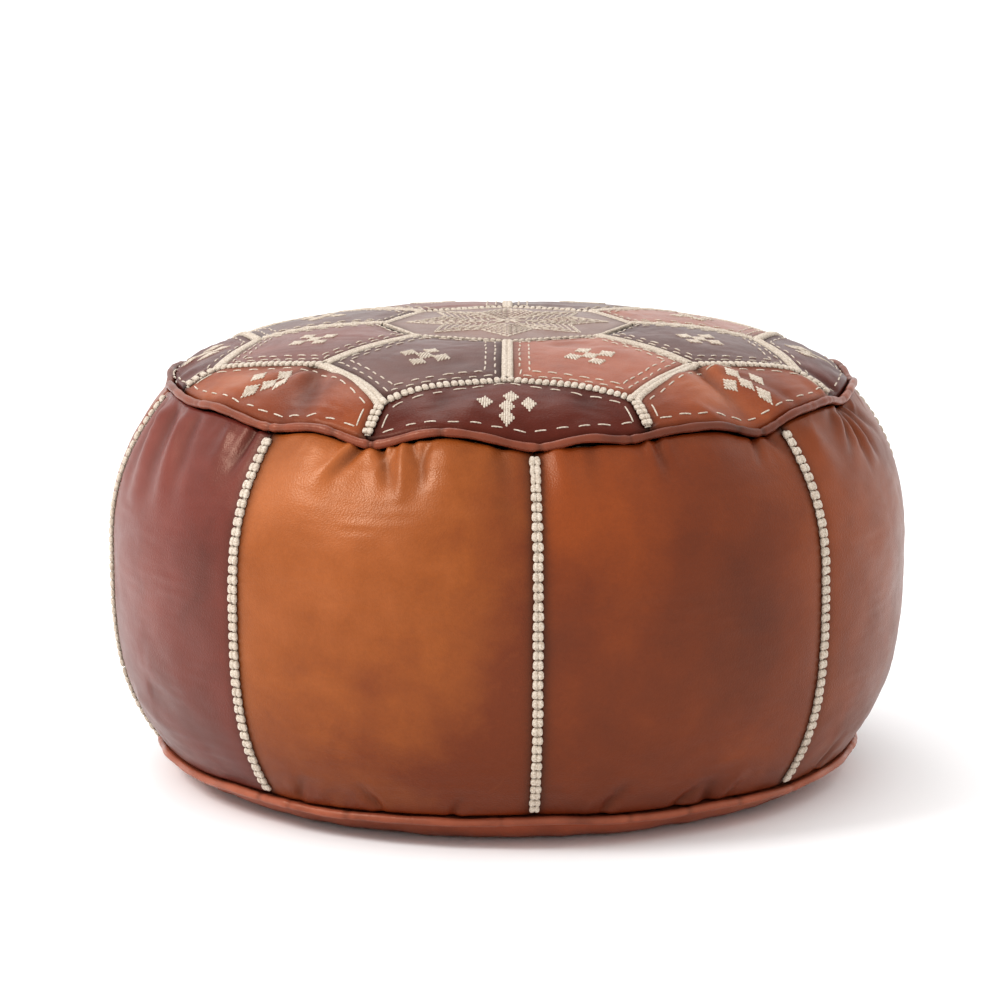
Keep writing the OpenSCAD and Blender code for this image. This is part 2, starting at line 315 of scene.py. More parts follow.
def span(start, cells=CELLS):
    """The columns from a first one on, with one more that closes the last cell."""
    return (start + np.arange(cells + 1)) % COLUMNS


# side panels: rows climb from under the base welt to under the top welt
heights = np.linspace(FOOT_Z + 0.8 * MM, SEAM_Z - 0.6 * MM, 200)
side_path = resampled(np.stack([side_r(heights), heights], -1), 4.2 * MM)
under = [(FOOT_WELT[0] - 7 * MM, FOOT_WELT[1] + 6.6 * MM), (FOOT_WELT[0] - 3 * MM, FOOT_WELT[1] + 4.4 * MM)]
over = [(TOP_WELT[0] - 3 * MM, TOP_WELT[1] - 4.4 * MM), (TOP_WELT[0] - 7 * MM, TOP_WELT[1] - 6.6 * MM)]
side_path = np.concatenate([under, side_path, over])
side_azimuth = SIDE_TURN + np.arange(COLUMNS) * 360 / COLUMNS
side_height = side_path[:, 1:] * np.ones((1, COLUMNS))
sewn = sewn_azimuth(side_azimuth)[None]
rim_fade = np.clip((side_height - SEAM_Z + 75 * MM) / (75 * MM), 0, 1) ** 1.5
side_rest = around(side_path[:, :1] + rim_pull(sewn) * rim_fade, sewn, side_path[:, 1:])
side_rest[..., 2] += rim_shift(sewn) * rim_fade
side_rest[..., 2] += foot_shift(sewn) * np.clip((FOOT_Z + 50 * MM - side_height) / (50 * MM), 0, 1)
on_seam = seam_distance(side_azimuth, SIDE_TURN) < 0.1
inward = 1 - 1.3 * MM / side_path[:, 0]
side_rest[:, on_seam, :2] *= inward[:, None, None]

pin = np.zeros(side_rest.shape[:2])
pin[:2] = pin[-2:] = 1
pin[:, on_seam] = 1
slack = (0.2 + 0.8 * np.clip((side_height - 190 * MM) / (60 * MM), 0, 1)
         + 0.5 * np.clip((70 * MM - side_height) / (50 * MM), 0, 1))
slack = np.clip(slack * bumpy(side_azimuth, 7, 60, 0.2)[None], 0, 1)
side_skin = simulate(side_rest, pin, slack, pressure=7.0, cap=9 * MM)

# top: rows run from under the welt to the zigzag seam, then on to the medallion
OUT_ROWS, IN_ROWS = 14, 20
ZIGZAG_ROW = OUT_ROWS + 1
FIRST_SPOKE = CELLS // 2         # the first column is on a zigzag point, half a petal before a spoke
HALF_PITCH = math.radians(PITCH / 2)
RIM_R, TUCK_R, TUCK_Z = 228.9 * MM, 229.2 * MM, TOP_WELT[1] - 1.2 * MM
SPOKE_SAGS = (3.6, 1.4, 2.2, 0.6, 1.8, 0.8, 2.4, 1.2)      # mm, where each petal sags at its outer end


def medallion_edge(azimuth):
    """Radius of the medallion's octagon."""
    return MEDALLION_R * math.cos(HALF_PITCH) / np.cos(HALF_PITCH - np.radians(seam_distance(azimuth, 0)))


top_azimuth = -PITCH / 2 + np.arange(COLUMNS) * 360 / COLUMNS
a = np.radians(seam_distance(top_azimuth, 0))[None]
zigzag_r = SPOKE_R * POINT_R * math.sin(HALF_PITCH) / (POINT_R * np.sin(HALF_PITCH - a) + SPOKE_R * np.sin(a))
out_t = np.linspace(0, 1, OUT_ROWS + 1)[:, None]
in_t = np.linspace(0, 1, IN_ROWS + 1)[1:, None]
top_r = np.concatenate([RIM_R + (zigzag_r - RIM_R) * out_t,
                        zigzag_r + (medallion_edge(top_azimuth)[None] - zigzag_r) * in_t])
top_z = dome_z(top_r)
for spoke, sag in enumerate(SPOKE_SAGS):
    across = (wrapped(top_azimuth - spoke * PITCH) / 13)[None]
    top_z = top_z - sag * MM * np.exp(-across ** 2 - ((top_r - 174 * MM) / (28 * MM)) ** 2)
fade = np.clip((top_r - 180 * MM) / (RIM_R - 180 * MM), 0, 1) ** 1.5
top_z = top_z + fade * rim_shift(top_azimuth)[None]
top_rest = around(top_r + rim_pull(top_azimuth)[None] * fade, top_azimuth[None], top_z)
tuck = around(TUCK_R + rim_pull(top_azimuth), top_azimuth, TUCK_Z + rim_shift(top_azimuth))[None]
top_rest = np.concatenate([tuck, top_rest])
on_point = seam_distance(top_azimuth, PITCH / 2) < 0.1
on_spoke = seam_distance(top_azimuth, 0) < 0.1
pin = np.zeros(top_rest.shape[:2])
pin[:2] = pin[-1] = pin[ZIGZAG_ROW] = 1
pin[:ZIGZAG_ROW, on_point] = 1
pin[ZIGZAG_ROW:, on_spoke] = 1
top_rest[..., 2] -= 2.9 * MM * pin * (np.arange(len(pin)) > 1)[:, None]
slack = np.full(pin.shape, 0.35)
slack[:ZIGZAG_ROW] = 0.8
slack *= bumpy(top_azimuth, 3, 48, 0.3)[None]
top_skin = simulate(top_rest, pin, slack, pressure=10.0, cap=8 * MM)

# -------- folds, worked in after the simulation

# start azimuth and height, end azimuth and height, half width, depth, in degrees and mm; a ridge has a
# negative depth
SIDE_FOLDS = (
    (-22.5, 257, -26.8, 234, 2.4, 3.4), (-20.3, 257, -16.8, 230, 2.8, 3.4), (-15.8, 252, -15.2, 220, 3, -2.6),
    (-24.8, 250, -30, 228, 4, -2.4), (-18.4, 252, -20, 236, 2, -1.6), (-14.2, 254, -12.6, 238, 2.2, 1.6),
    (-1, 254, -0.5, 225, 5, 1.6), (-0.5, 225, 1.5, 205, 6, 1), (-9, 254, -8, 222, 9, -2.6),
    (-12.6, 250, -12.4, 226, 3, 1.8), (-29, 250, -31, 200, 18, -2.5), (7.5, 252, 8.5, 212, 6.5, -3),
    (12.5, 256, 12, 225, 5, 1.2), (21.5, 256, 21.8, 232, 2.4, -1.7), (23.2, 256, 23.8, 234, 2.2, 1.5),
    (42, 254, 39.5, 236, 2.6, 2.2), (44.5, 254, 47, 238, 2.6, 1.8), (32, 250, 33, 225, 16, -1.6),
    (-74, 254, -71, 190, 7, 1.8), (-66, 255, -62, 185, 8, 2), (-57, 255, -55, 195, 6, 1.5),
    (-70, 250, -67, 190, 7, -2), (-61, 252, -58.5, 195, 6, -1.8), (-43.2, 256, -44.5, 228, 3, 2.8),
    (-47.5, 252, -49, 215, 7, -1.6), (67, 256, 60, 228, 3, 3.2), (68.5, 256, 66.5, 215, 3.2, 3),
    (70, 256, 73, 220, 3, 3.4), (72, 256, 80, 232, 3, 2.8), (64, 252, 60, 222, 5, -1.5),
    (71, 250, 70, 220, 4, -1.4), (54, 250, 54, 215, 9, -1.8), (-62, 75, -48, 52, 9, 1.4),
    (-70, 60, -55, 38, 7, -1.4), (-20, 28, -22, 45, 3, 1.7), (15, 28, 18, 48, 3, 1.8),
    (12, 30, 13, 44, 3, -1.2), (-8, 26, -6, 40, 2.5, 1.5), (27, 26, 31, 40, 3, 1.8), (32, 26, 31, 44, 4, 2),
    (35, 30, 38, 48, 4, -1.2), (-33, 28, -30, 44, 3, 1.7), (-29, 30, -26, 42, 3, -1),
    (58, 28, 62, 50, 4, 1.8),
)
# the same on the top, as x, y, x, y, half width, depth: mm
TOP_FOLDS = (
    (-124, -121, -178, -148, 5, 2.8), (-127, -128, -160, -168, 8, -2.4), (-123, -130, -130, -188, 6, 3.0),
    (-104, -146, -108, -196, 10, -1.8), (-150, -128, -190, -132, 10, -2), (121, -124, 152, -176, 5, 2.6),
    (134, -120, 178, -146, 8, -2.6), (110, -146, 120, -192, 10, -2.4), (142, -126, 186, -134, 5, 1.6),
    (0, -180, 4, -222, 14, -1.4), (-40, -196, -50, -220, 7, 1.4), (48, -196, 58, -218, 8, 1.4),
    (-20, -205, -24, -226, 6, -1), (-60, -120, -92, -140, 10, -1.4), (60, -110, 90, -135, 12, -1.2),
    (-30, -140, -70, -150, 8, 1), (34, -100, 60, -96, 8, 1),
)


def stroke(u, v, u0, v0, u1, v1, width, depth):
    """Displacement of one fold at points u, v. It is deepest at its start and has soft shoulders."""
    du, dv = u1 - u0, v1 - v0
    length = math.hypot(du, dv)
    s = ((u - u0) * du + (v - v0) * dv) / length ** 2
    d = ((u - u0) * dv - (v - v0) * du) / length
    d = d + 0.036 * length * np.sin(2.4 * s)
    width = width * (1 + 0.5 * np.clip(s, 0, 1))
    along = np.where(s < 0, np.exp(-(s * length / 6) ** 2), np.clip(1 - s, 0, 1) ** 1.2 * (1 + s * 0.8))
    shape = np.exp(-(d / width) ** 2) - 0.28 * np.exp(-((np.abs(d) - 2.3 * width) / (1.2 * width)) ** 2)
    return -depth * along * shape


def random_side_folds():
    """Puckers where the photo doesn't show the sides, in the manner of those that it does, and small ones all
    round under the top welt."""
    rng = np.random.default_rng(11)
    folds = []

    def add(at, starts, z0, ends, z1, widths, depths):
        folds.append((at + rng.uniform(*starts), z0, at + rng.uniform(*ends), rng.uniform(*z1),
                      rng.uniform(*widths), rng.uniform(*depths)))

    for at, drop, _ in RIM_DIPS:
        if drop > 0 and (90 < at or at < -80):
            for way in (-1, 1):
                folds.append((at + way * rng.uniform(0.5, 2), 256, at + way * rng.uniform(2, 7),
                              rng.uniform(215, 240), rng.uniform(2.6, 4), rng.uniform(1.4, 2.4)))
            folds.append((at + rng.uniform(-6, 6), 252, at + rng.uniform(-6, 6), rng.uniform(190, 225),
                          rng.uniform(5, 12), -rng.uniform(1, 2.2)))
    for at in np.arange(80, 290, 8.0):
        add(at, (-3, 3), 28, (-6, 6), (40, 62), (2.5, 5), (-1.2, 1.3))
    for at in np.arange(-178, 180, 7.0):
        add(at, (-3, 3), 256, (-4, 4), (236, 248), (1.8, 3), (-0.8, 1.0))
    return folds


def random_top_folds():
    """Folds that run in from the welt: made up behind, and small ones in front."""
    rng = np.random.default_rng(5)
    folds = []
    for azimuths, r0, turns, ends, widths, depths in (
            (np.arange(62, 300, 11.0), 226, (4, 8), (190, 208), (4, 8), (-1.6, 1.4)),
            (np.arange(-58, 60, 7.0), 227, (2, 4), (208, 218), (3, 5), (-0.9, 0.9))):
        for azimuth in azimuths:
            a0, a1 = (math.radians(azimuth + rng.uniform(-turn, turn)) for turn in turns)
            r1 = rng.uniform(*ends)
            folds.append((r0 * math.sin(a0), -r0 * math.cos(a0), r1 * math.sin(a1), -r1 * math.cos(a1),
                          rng.uniform(*widths), rng.uniform(*depths)))
    return folds


def window(rows, columns):
    """0 on the borders of a panel and 1 four cells inside, so that folds don't open its seams."""
    i, j = np.arange(rows)[:, None], np.arange(columns)[None]
    near = np.minimum(np.minimum(i, rows - 1 - i), np.minimum(j, columns - 1 - j))
    return np.clip(near / 4, 0, 1)


def folded(grid, u, v, folds):
    """The grid with folds worked into it, and how deep into a crease each point lies."""
    shift, crease = np.zeros(grid.shape[:2]), np.zeros(grid.shape[:2])
    for fold in folds:
        add = stroke(u, v, *fold)
        shift += add
        if fold[-1] > 0:
            crease = np.maximum(crease, np.clip(-add / 2.4, 0, 1))
    inside = window(*grid.shape[:2])
    return grid + grid_normals(grid) * (shift * inside * MM)[..., None], crease * inside


def ironed(grid, rounds):
    """The grid with the small ripples between its columns smoothed away; its borders stay."""
    grid = grid.copy()
    for _ in range(rounds):
        middle = (grid[:, :-2] + grid[:, 2:]) / 2
        grid[:, 1:-1] += (middle - grid[:, 1:-1]) * 0.7
    return grid


FRONT_R = 255                    # mm


def round_side(azimuth):
    """Degrees round the side as a distance in mm."""
    return azimuth * math.pi / 180 * FRONT_R


side_folds = [(round_side(u0), v0, round_side(u1), *rest)
              for u0, v0, u1, *rest in list(SIDE_FOLDS) + random_side_folds()]
top_folds = list(TOP_FOLDS) + random_top_folds()


def side_panel_grid(n):
    """A side panel's grid, with the azimuth, height in mm and crease of its points."""
    columns = span(n * CELLS)
    grid = refined(refined(ironed(side_skin[:, columns], 4), 0), 1)
    rest = refined(refined(side_rest[:, columns], 0), 1)
    middle = wrapped(SIDE_TURN + n * PITCH + PITCH / 2)
    azimuth = middle + wrapped(np.degrees(np.arctan2(rest[..., 0], -rest[..., 1])) - middle)
    u, v = round_side(azimuth), rest[..., 2] / MM
    turn = 2 * math.pi * FRONT_R
    folds = [(u0 + s, v0, u1 + s, *rest_of) for u0, v0, u1, *rest_of in side_folds for s in (-turn, 0, turn)
             if u.min() - 60 < u0 + s < u.max() + 60]
    grid, crease = folded(grid, u, v, folds)
    return grid, azimuth, v, crease


def petal_grid(columns, rows):
    grid = ironed(top_skin[rows][:, columns], 2)
    grid = refined(refined(grid, 0), 1)
    return folded(grid, grid[..., 0] / MM, grid[..., 1] / MM, top_folds)


# -------- materials

def srgb(*colour):
    """A colour given as 0 to 255 in sRGB, as linear values."""
    return tuple(c / 255 / 12.92 if c <= 10 else ((c / 255 + 0.055) / 1.055) ** 2.4 for c in colour) + (1,)


class Nodes:
    """A material and its node tree, with short ways to add and join nodes."""

    def __init__(self, name):
        self.material = bpy.data.materials.new(name)
        self.material.use_nodes = True
        self.tree = self.material.node_tree
        self.shader = self.tree.nodes["Principled BSDF"]
        self.place = self.add("ShaderNodeTexCoord").outputs["Object"]

    def add(self, kind, inputs=None, **settings):
        node = self.tree.nodes.new(kind)
        for key, value in settings.items():
            setattr(node, key, value)
        for key, value in (inputs or {}).items():
            self.put(node.inputs[key], value)
        return node

    def put(self, socket, value):
        if isinstance(value, bpy.types.NodeSocket):
            self.tree.links.new(value, socket)
        else:
            socket.default_value = value

    def set(self, **inputs):
        for key, value in inputs.items():
            self.put(self.shader.inputs[key.replace("_", " ")], value)

    def noise(self, scale, detail=3.0, rough=0.5, distortion=0.0, seed=0.0, stretch=(1, 1, 1)):
        where = self.add("ShaderNodeMapping", {"Vector": self.place, "Location": (seed, seed * 1.7, -seed),
                                               "Scale": stretch})
        return self.add("ShaderNodeTexNoise", {"Vector": where.outputs[0], "Scale": scale, "Detail": detail,
                                               "Roughness": rough, "Distortion": distortion}).outputs["Fac"]

    def math(self, operation, a, b):
        node = self.add("ShaderNodeMath", operation=operation)
        self.put(node.inputs[0], a)
        self.put(node.inputs[1], b)
        return node.outputs[0]

    def span(self, value, low, high, to_low=0.0, to_high=1.0):
        return self.add("ShaderNodeMapRange", {"Value": value, "From Min": low, "From Max": high,
                                               "To Min": to_low, "To Max": to_high}).outputs[0]

    def mix(self, fac, a, b):
        node = self.add("ShaderNodeMix", data_type="RGBA")
        for socket, value in ((0, fac), (6, a), (7, b)):
            self.put(node.inputs[socket], value)
        return node.outputs[2]

    def ramp(self, value, *stops):
        node = self.add("ShaderNodeValToRGB", {"Fac": value})
        marks = node.color_ramp.elements
        while len(marks) < len(stops):
            marks.new(0.5)
        for mark, (at, colour) in zip(marks, stops):
            mark.position = at
            mark.color = colour
        return node.outputs[0]

    def value(self, name):
        return self.add("ShaderNodeAttribute", attribute_name=name).outputs["Fac"]

    def bump(self, height, distance, strength=1.0, under=None):
        inputs = {"Height": height, "Distance": distance, "Strength": strength}
        if under is not None:
            inputs["Normal"] = under
        return self.add("ShaderNodeBump", inputs).outputs[0]


def leather(name, dye, seed, shine=0.45, roughness=0.34):
    """Hand-dyed leather: cloudy dye, painted shade along its seams and in its creases, paler in random
    streaks, with a fine grain.
    dye is the dark, middle and light shade."""
    dark, mid, light = (srgb(*shade) for shade in dye)
    n = Nodes(name)
    cloud = n.noise(7, 3, 0.55, 0.6, seed)
    blotch = n.noise(28, 4, 0.6, 0.3, seed + 3)
    mottle = n.math("ADD", n.math("MULTIPLY", cloud, 0.65), n.math("MULTIPLY", blotch, 0.35))
    # the tone attribute moves the colour lighter or darker; on the sides and the outer petals it also holds
    # painted light and painted shade
    level = n.math("ADD", n.span(mottle, 0.22, 0.78), n.value("tone"))
    colour = n.ramp(level, (0.05, dark), (0.5, mid), (0.95, light))
    grain_tone = n.span(n.noise(420, 2, 0.6, 0, seed), 0.25, 0.75, 0.94, 1.04)
    colour = n.add("ShaderNodeHueSaturation", {"Color": colour, "Value": grain_tone}).outputs[0]
    streak = n.span(n.noise(60, 5, 0.65, 1.2, seed + 9), 0.62, 0.8)
    colour = n.mix(n.math("MULTIPLY", streak, 0.18), colour, light)
    # painted shade: the colour goes dark along the seams and in the valleys of folds, where shade falls,
    # towards a deep shade of the dye
    seam = n.math("POWER", n.value("seam"), 1.3)
    shade = n.math("ADD", n.math("MULTIPLY", seam, 0.92), n.math("MULTIPLY", n.value("crease"), 0.45))
    shade = n.math("MINIMUM", shade, 0.9)
    colour = n.mix(shade, colour, tuple(c * 0.22 for c in dark[:3]) + (1,))
    cells = n.add("ShaderNodeTexVoronoi", {"Vector": n.place, "Scale": 850.0, "Randomness": 1.0})
    pores = n.noise(1900, 2, 0.6, 0, seed)
    wrinkle = n.noise(95, 4, 0.6, 0.8, seed + 5)
    soft = n.noise(26, 2, 0.5, 0.4, seed + 7)
    bump = n.bump(cells.outputs["Distance"], 0.00022, 0.5)
    bump = n.bump(pores, 0.00012, 0.5, bump)
    bump = n.bump(wrinkle, 0.0007, 0.07, bump)
    bump = n.bump(soft, 0.002, 0.05, bump)
    rough = n.span(n.noise(34, 4, 0.6, 0.5, seed + 2), 0.3, 0.7, roughness - 0.05, roughness + 0.07)
    rough = n.math("ADD", rough, n.math("MULTIPLY", shade, 0.2))
    n.set(Base_Color=colour, Roughness=rough, Normal=bump)
    n.shader.inputs["Specular IOR Level"].default_value = shine
    n.shader.inputs["Specular Tint"].default_value = (1, 0.74, 0.58, 1)
    return n.material


def thread_material(name, colour, shadow):
    colour, shadow = srgb(*colour), srgb(*shadow)
    n = Nodes(name)
    fibre = n.noise(900, 3, 0.6, 0.2)
    tone = n.noise(55, 3, 0.6, 0.4, 4)
    base = n.mix(n.span(fibre, 0.35, 0.7), shadow, colour)
    worn = n.mix(n.math("MULTIPLY", n.span(tone, 0.45, 0.75), 0.35), base, shadow)
    twist = n.add("ShaderNodeTexWave", {"Vector": n.place, "Scale": 320.0, "Distortion": 2.5, "Detail": 2.0},
                  bands_direction="DIAGONAL").outputs["Fac"]
    bump = n.bump(twist, 0.0003, 0.6)
    bump = n.bump(fibre, 0.0002, 0.5, bump)
    n.set(Base_Color=worn, Roughness=n.span(fibre, 0.3, 0.7, 0.62, 0.85), Normal=bump)
    n.shader.inputs["Sheen Weight"].default_value = 0.15
    return n.material


def cloth_material(name, colour, shadow, pitch, height=0.0003):
    """A plain weave from two crossed sets of bands, one pitch apart."""
    colour, shadow = srgb(*colour), srgb(*shadow)
    n = Nodes(name)
    bands = {"Vector": n.place, "Scale": 1 / pitch / 3.14, "Distortion": 0.6, "Detail": 2.0,
             "Detail Scale": 4.0}
    waves = [n.add("ShaderNodeTexWave", bands, bands_direction=way).outputs["Fac"] for way in ("X", "Y")]
    weave = n.math("MAXIMUM", waves[0], waves[1])
    tone = n.noise(40, 4, 0.6)
    base = n.mix(n.span(weave, 0.2, 0.9), shadow, colour)
    base = n.mix(n.math("MULTIPLY", n.span(tone, 0.4, 0.7), 0.25), base, shadow)
    n.set(Base_Color=base, Roughness=n.span(tone, 0.3, 0.7, 0.75, 0.92), Normal=n.bump(weave, height, 0.7))
    return n.material


# the dark, middle and light shade of each dye
BURGUNDY = (54, 16, 11), (74, 26, 18), (100, 46, 35)
GREY_BURGUNDY = (51, 24, 20), (71, 36, 31), (93, 55, 48)
TAN_PETAL = (106, 48, 30), (136, 74, 52), (156, 94, 72)
MAUVE = (76, 38, 34), (104, 58, 50), (132, 84, 74)
TAN_OUTER = (88, 37, 21), (121, 58, 31), (156, 88, 52)
MEDALLION = (70, 46, 38), (96, 66, 56), (126, 94, 82)
TOP_WELT_DYE = (72, 31, 22), (107, 52, 36), (140, 77, 55)
BASE_WELT_DYE = (100, 48, 34), (143, 78, 56), (168, 98, 74)
BASE_DYE = (100, 46, 28), (140, 70, 44), (166, 92, 60)
SIDES = {                        # slot and dye of each side panel
    "a": ("brown_leather", (80, 32, 16), (101, 42, 15), (126, 58, 18)),
    "b": ("brown_leather", (82, 32, 12), (103, 45, 16), (126, 60, 25)),
    "c": ("burgundy_leather", (78, 32, 28), (98, 44, 36), (120, 60, 48)),
    "d": ("brown_leather", (84, 34, 16), (112, 52, 26), (138, 70, 34)),
    "e": ("tan_leather", (100, 42, 16), (134, 64, 26), (154, 82, 38)),
    "f": ("brown_leather", (80, 32, 16), (106, 46, 22), (130, 62, 32)),
    "g": ("burgundy_leather", (78, 29, 23), (98, 41, 34), (118, 60, 52)),
    "h": ("tan_leather", (98, 40, 14), (130, 68, 25), (152, 86, 44)),
}

thread = thread_material("cream_thread", (214, 203, 189), (164, 147, 129))

# -------- leather panels

# lighter and darker places in the colour: strength, place, reach both ways. The place is an azimuth and a
# height on the sides, and x and y on the outer petals, in degrees and mm. On h they are a painted highlight
# at its upper left and painted shade along its right edge, on g painted shade along its right edge, and on a
# places that are just lighter or darker. On the outer petals they are painted light and painted shade on the
# two sides of a fold
SIDE_TONE_HIGHLIGHT_AND_SHADE = {
    "a": ((0.25, 7, 232, 4, 24), (-0.2, 9, 140, 6, 50), (-0.3, 33, 150, 12, 55)),
    "g": ((-0.35, -46, 0, 7, math.inf),),
    "h": ((0.15, -26, 190, 9, 50), (-0.55, 4, 0, 9, math.inf)),
}
OUTER_LIGHT_AND_SHADE_SPOTS = ((0.3, -178, -118, 24, 24), (-0.25, -132, -168, 26, 26), (0.25, 128, -160, 26, 26),
               (-0.3, 165, -125, 24, 24))


def spotted(u, v, spots):
    return sum(much * np.exp(-((u - at_u) / wide) ** 2 - ((v - at_v) / high) ** 2)
               for much, at_u, at_v, wide, high in spots)


for n, (letter, (slot, *dye)) in enumerate(SIDES.items()):
    grid, azimuth, height, crease = side_panel_grid(n)
    # painted light towards the top and painted shade towards the bottom of each side panel, with the spots
    # above
    tone = 0.16 * np.clip((height - 120) / 100, -1, 1) + spotted(azimuth, height, SIDE_TONE_HIGHLIGHT_AND_SHADE.get(letter, ()))
    # more painted shade towards the bottom of h
    if letter == "h":
        tone = tone - 0.12 * np.clip((110 - height) / 60, 0, 1)
    panel = leather_panel("skin_side_" + letter, grid, (0, 0, 1, 1), tone, crease)
    dyed = leather("side_leather_" + letter, dye, seed=n * 2.3, shine=0.34 if letter == "b" else 0.45)
    finished(panel, dyed, ["side_panel_" + letter])

top_grids = []
for n, letter in enumerate("abcdefgh"):
    grid, crease = petal_grid(span(FIRST_SPOKE + n * CELLS), np.arange(ZIGZAG_ROW, len(top_skin)))
    top_grids.append(grid)
    slot = "burgundy_leather" if n % 2 else "tan_leather"
    dye = GREY_BURGUNDY if n % 2 else MAUVE if n in (4, 6) else TAN_PETAL
    panel = leather_panel("skin_inner_petal_" + letter, grid, (1, 1, 1, 1), 0.0, crease, 8.5 * MM)
    shine = 0.6 if n in (2, 3, 4, 5) else 0.34
    dyed = leather("inner_leather_" + letter, dye, seed=20 + n * 1.9, shine=shine)
    finished(panel, dyed, ["inner_petal_" + letter])
OUTER = ("front", "front_right", "right", "back_right", "back", "back_left", "left", "front_left")
for n, where in enumerate(OUTER):
    grid, crease = petal_grid(span(n * CELLS), np.arange(0, ZIGZAG_ROW + 1))
    top_grids.append(grid)
    # painted light and painted shade on the two sides of the folds on the front-left and front-right outer
    # petals
    tone = spotted(grid[..., 0] / MM, grid[..., 1] / MM, OUTER_LIGHT_AND_SHADE_SPOTS)
    slot, dye, shine = ("tan_leather", TAN_OUTER, 0.3) if n % 2 else ("burgundy_leather", BURGUNDY, 0.2)
    panel = leather_panel("skin_outer_petal_" + where, grid, (0, 1, 1, 1), tone, crease, 7.5 * MM)
    dyed = leather("outer_leather_" + where, dye, seed=40 + n * 1.7, shine=shine)
    finished(panel, dyed, ["outer_petal_" + where])

# -------- medallion

def disc(cells):
    """A square grid drawn out to a disc: the share of the radius and the azimuth of each point."""
    line = np.linspace(-1, 1, cells + 1)
    u, v = np.meshgrid(line, line)
    x, y = u * np.sqrt(1 - v ** 2 / 2), v * np.sqrt(1 - u ** 2 / 2)
    return np.minimum(np.hypot(x, y), 1), np.degrees(np.arctan2(x, -y))


t, azimuth = disc(56)
r = t * medallion_edge(azimuth)
ripple = 0.35 * np.sin(5 * np.radians(azimuth) + 9 * t) * t * (1 - t) * 4 + 0.3 * np.cos(11 * t)
medallion = around(r, azimuth, dome_z(r) + (1.4 * (1 - t ** 8) - 1.0 + ripple * (1 - t ** 6)) * MM)
top_grids.append(medallion)
panel = leather_panel("skin_medallion", medallion, (1, 1, 1, 1))
finished(panel, leather("medallion_leather_dye", MEDALLION, seed=61), ["medallion"])


def laying_on(grids, start_z, way, spare_z):
    """A function that moves points x, y from start_z straight up or down (way 1 or -1) on to leather, and
    gives its normals there. Where there is no leather it uses the height spare_z(x, y)."""
    tree = skin_tree(grids)

    def lay(points):
        found, normals = [], []
        for x, y in points.reshape(-1, 2):
            hit, normal, _, _ = tree.ray_cast(Vector((x, y, start_z)), Vector((0, 0, way)))
            if hit is None:
                hit, normal = Vector((x, y, spare_z(x, y))), Vector((0, 0, -way))
            found.append(hit)
            normals.append(normal)
        shape = points.shape[:-1] + (3,)
        return np.array(found).reshape(shape), np.array(normals).reshape(shape)
    return lay


on_top = laying_on(top_grids, 0.4, -1, lambda x, y: dome_z(math.hypot(x, y)))


# -------- threads

def repeated(faces, count, points):
    """The faces of many copies of a piece with so many points."""
    return [[q + i * points for q in face] for i in range(count) for face in faces]


def joined(parts):
    """One list of points and one of faces from several."""
    points, faces, start = [], [], 0
    for p, f in parts:
        points.append(p)
        faces += [[i + start for i in face] for face in f]
        start += len(p)
    return np.concatenate(points), faces


def tubes(paths, normals, radius, sides=6, flat=0.8, taper=1.0):
    """Closed tubes along many paths of the same number of points. radius is one number, or one per path."""
    count, steps = paths.shape[:2]
    tangent = unit(np.gradient(paths, axis=1))
    across = unit(np.cross(tangent, normals))
    up = np.cross(across, tangent)
    turn = np.linspace(0, 2 * math.pi, sides, endpoint=False)[:, None]
    size = np.broadcast_to(np.asarray(radius, float).reshape(-1, 1), (count, steps)) * taper
    ring = np.cos(turn) * across[:, :, None] + flat * np.sin(turn) * up[:, :, None]
    points = paths[:, :, None] + size[..., None, None] * ring
    one = grid_faces(steps, sides, closed=True, flip=True)
    one += [list(range(sides)), list(range((steps - 1) * sides, steps * sides))[::-1]]
    return points.reshape(-1, 3), repeated(one, count, steps * sides)


# along a stitch: where its points are, how high they stand in thread radii, and how thick it is there
STITCH_AT = np.array([0, 0.06, 0.25, 0.5, 0.75, 0.94, 1])
STITCH_RISE = np.array([-1.2, 0.0, 0.3, 0.4, 0.3, 0.0, -1.2])
STITCH_TAPER = np.array([0.6, 0.9, 1, 1, 1, 0.9, 0.6])


def stitches(pairs, radius, lay=on_top):
    """Thread stitches from pairs of starts and ends x, y, going down into the leather at both ends."""
    starts, ends = (np.concatenate([pair[i] for pair in pairs]) for i in (0, 1))
    found, normals = lay(starts[:, None] + (ends - starts)[:, None] * STITCH_AT[None, :, None])
    return tubes(found + normals * (STITCH_RISE[None, :, None] * radius), normals, radius, taper=STITCH_TAPER)


def bead(segments=8, rings=5):
    """A unit ball with small poles along its length, a little squared as a knot of thread is."""
    a = math.pi * (0.08 + 0.84 * np.arange(rings + 1) / rings)[:, None]
    b = 2 * math.pi * np.arange(segments) / segments
    ball = np.stack(np.broadcast_arrays(np.cos(a), np.sin(a) * np.cos(b), np.sin(a) * np.sin(b)), -1)
    ball = ball.reshape(-1, 3)
    faces = grid_faces(rings + 1, segments, closed=True)
    faces += [list(range(segments))[::-1], list(range(rings * segments, (rings + 1) * segments))]
    return np.sign(ball) * np.abs(ball) ** 0.72, faces


BEAD = bead()


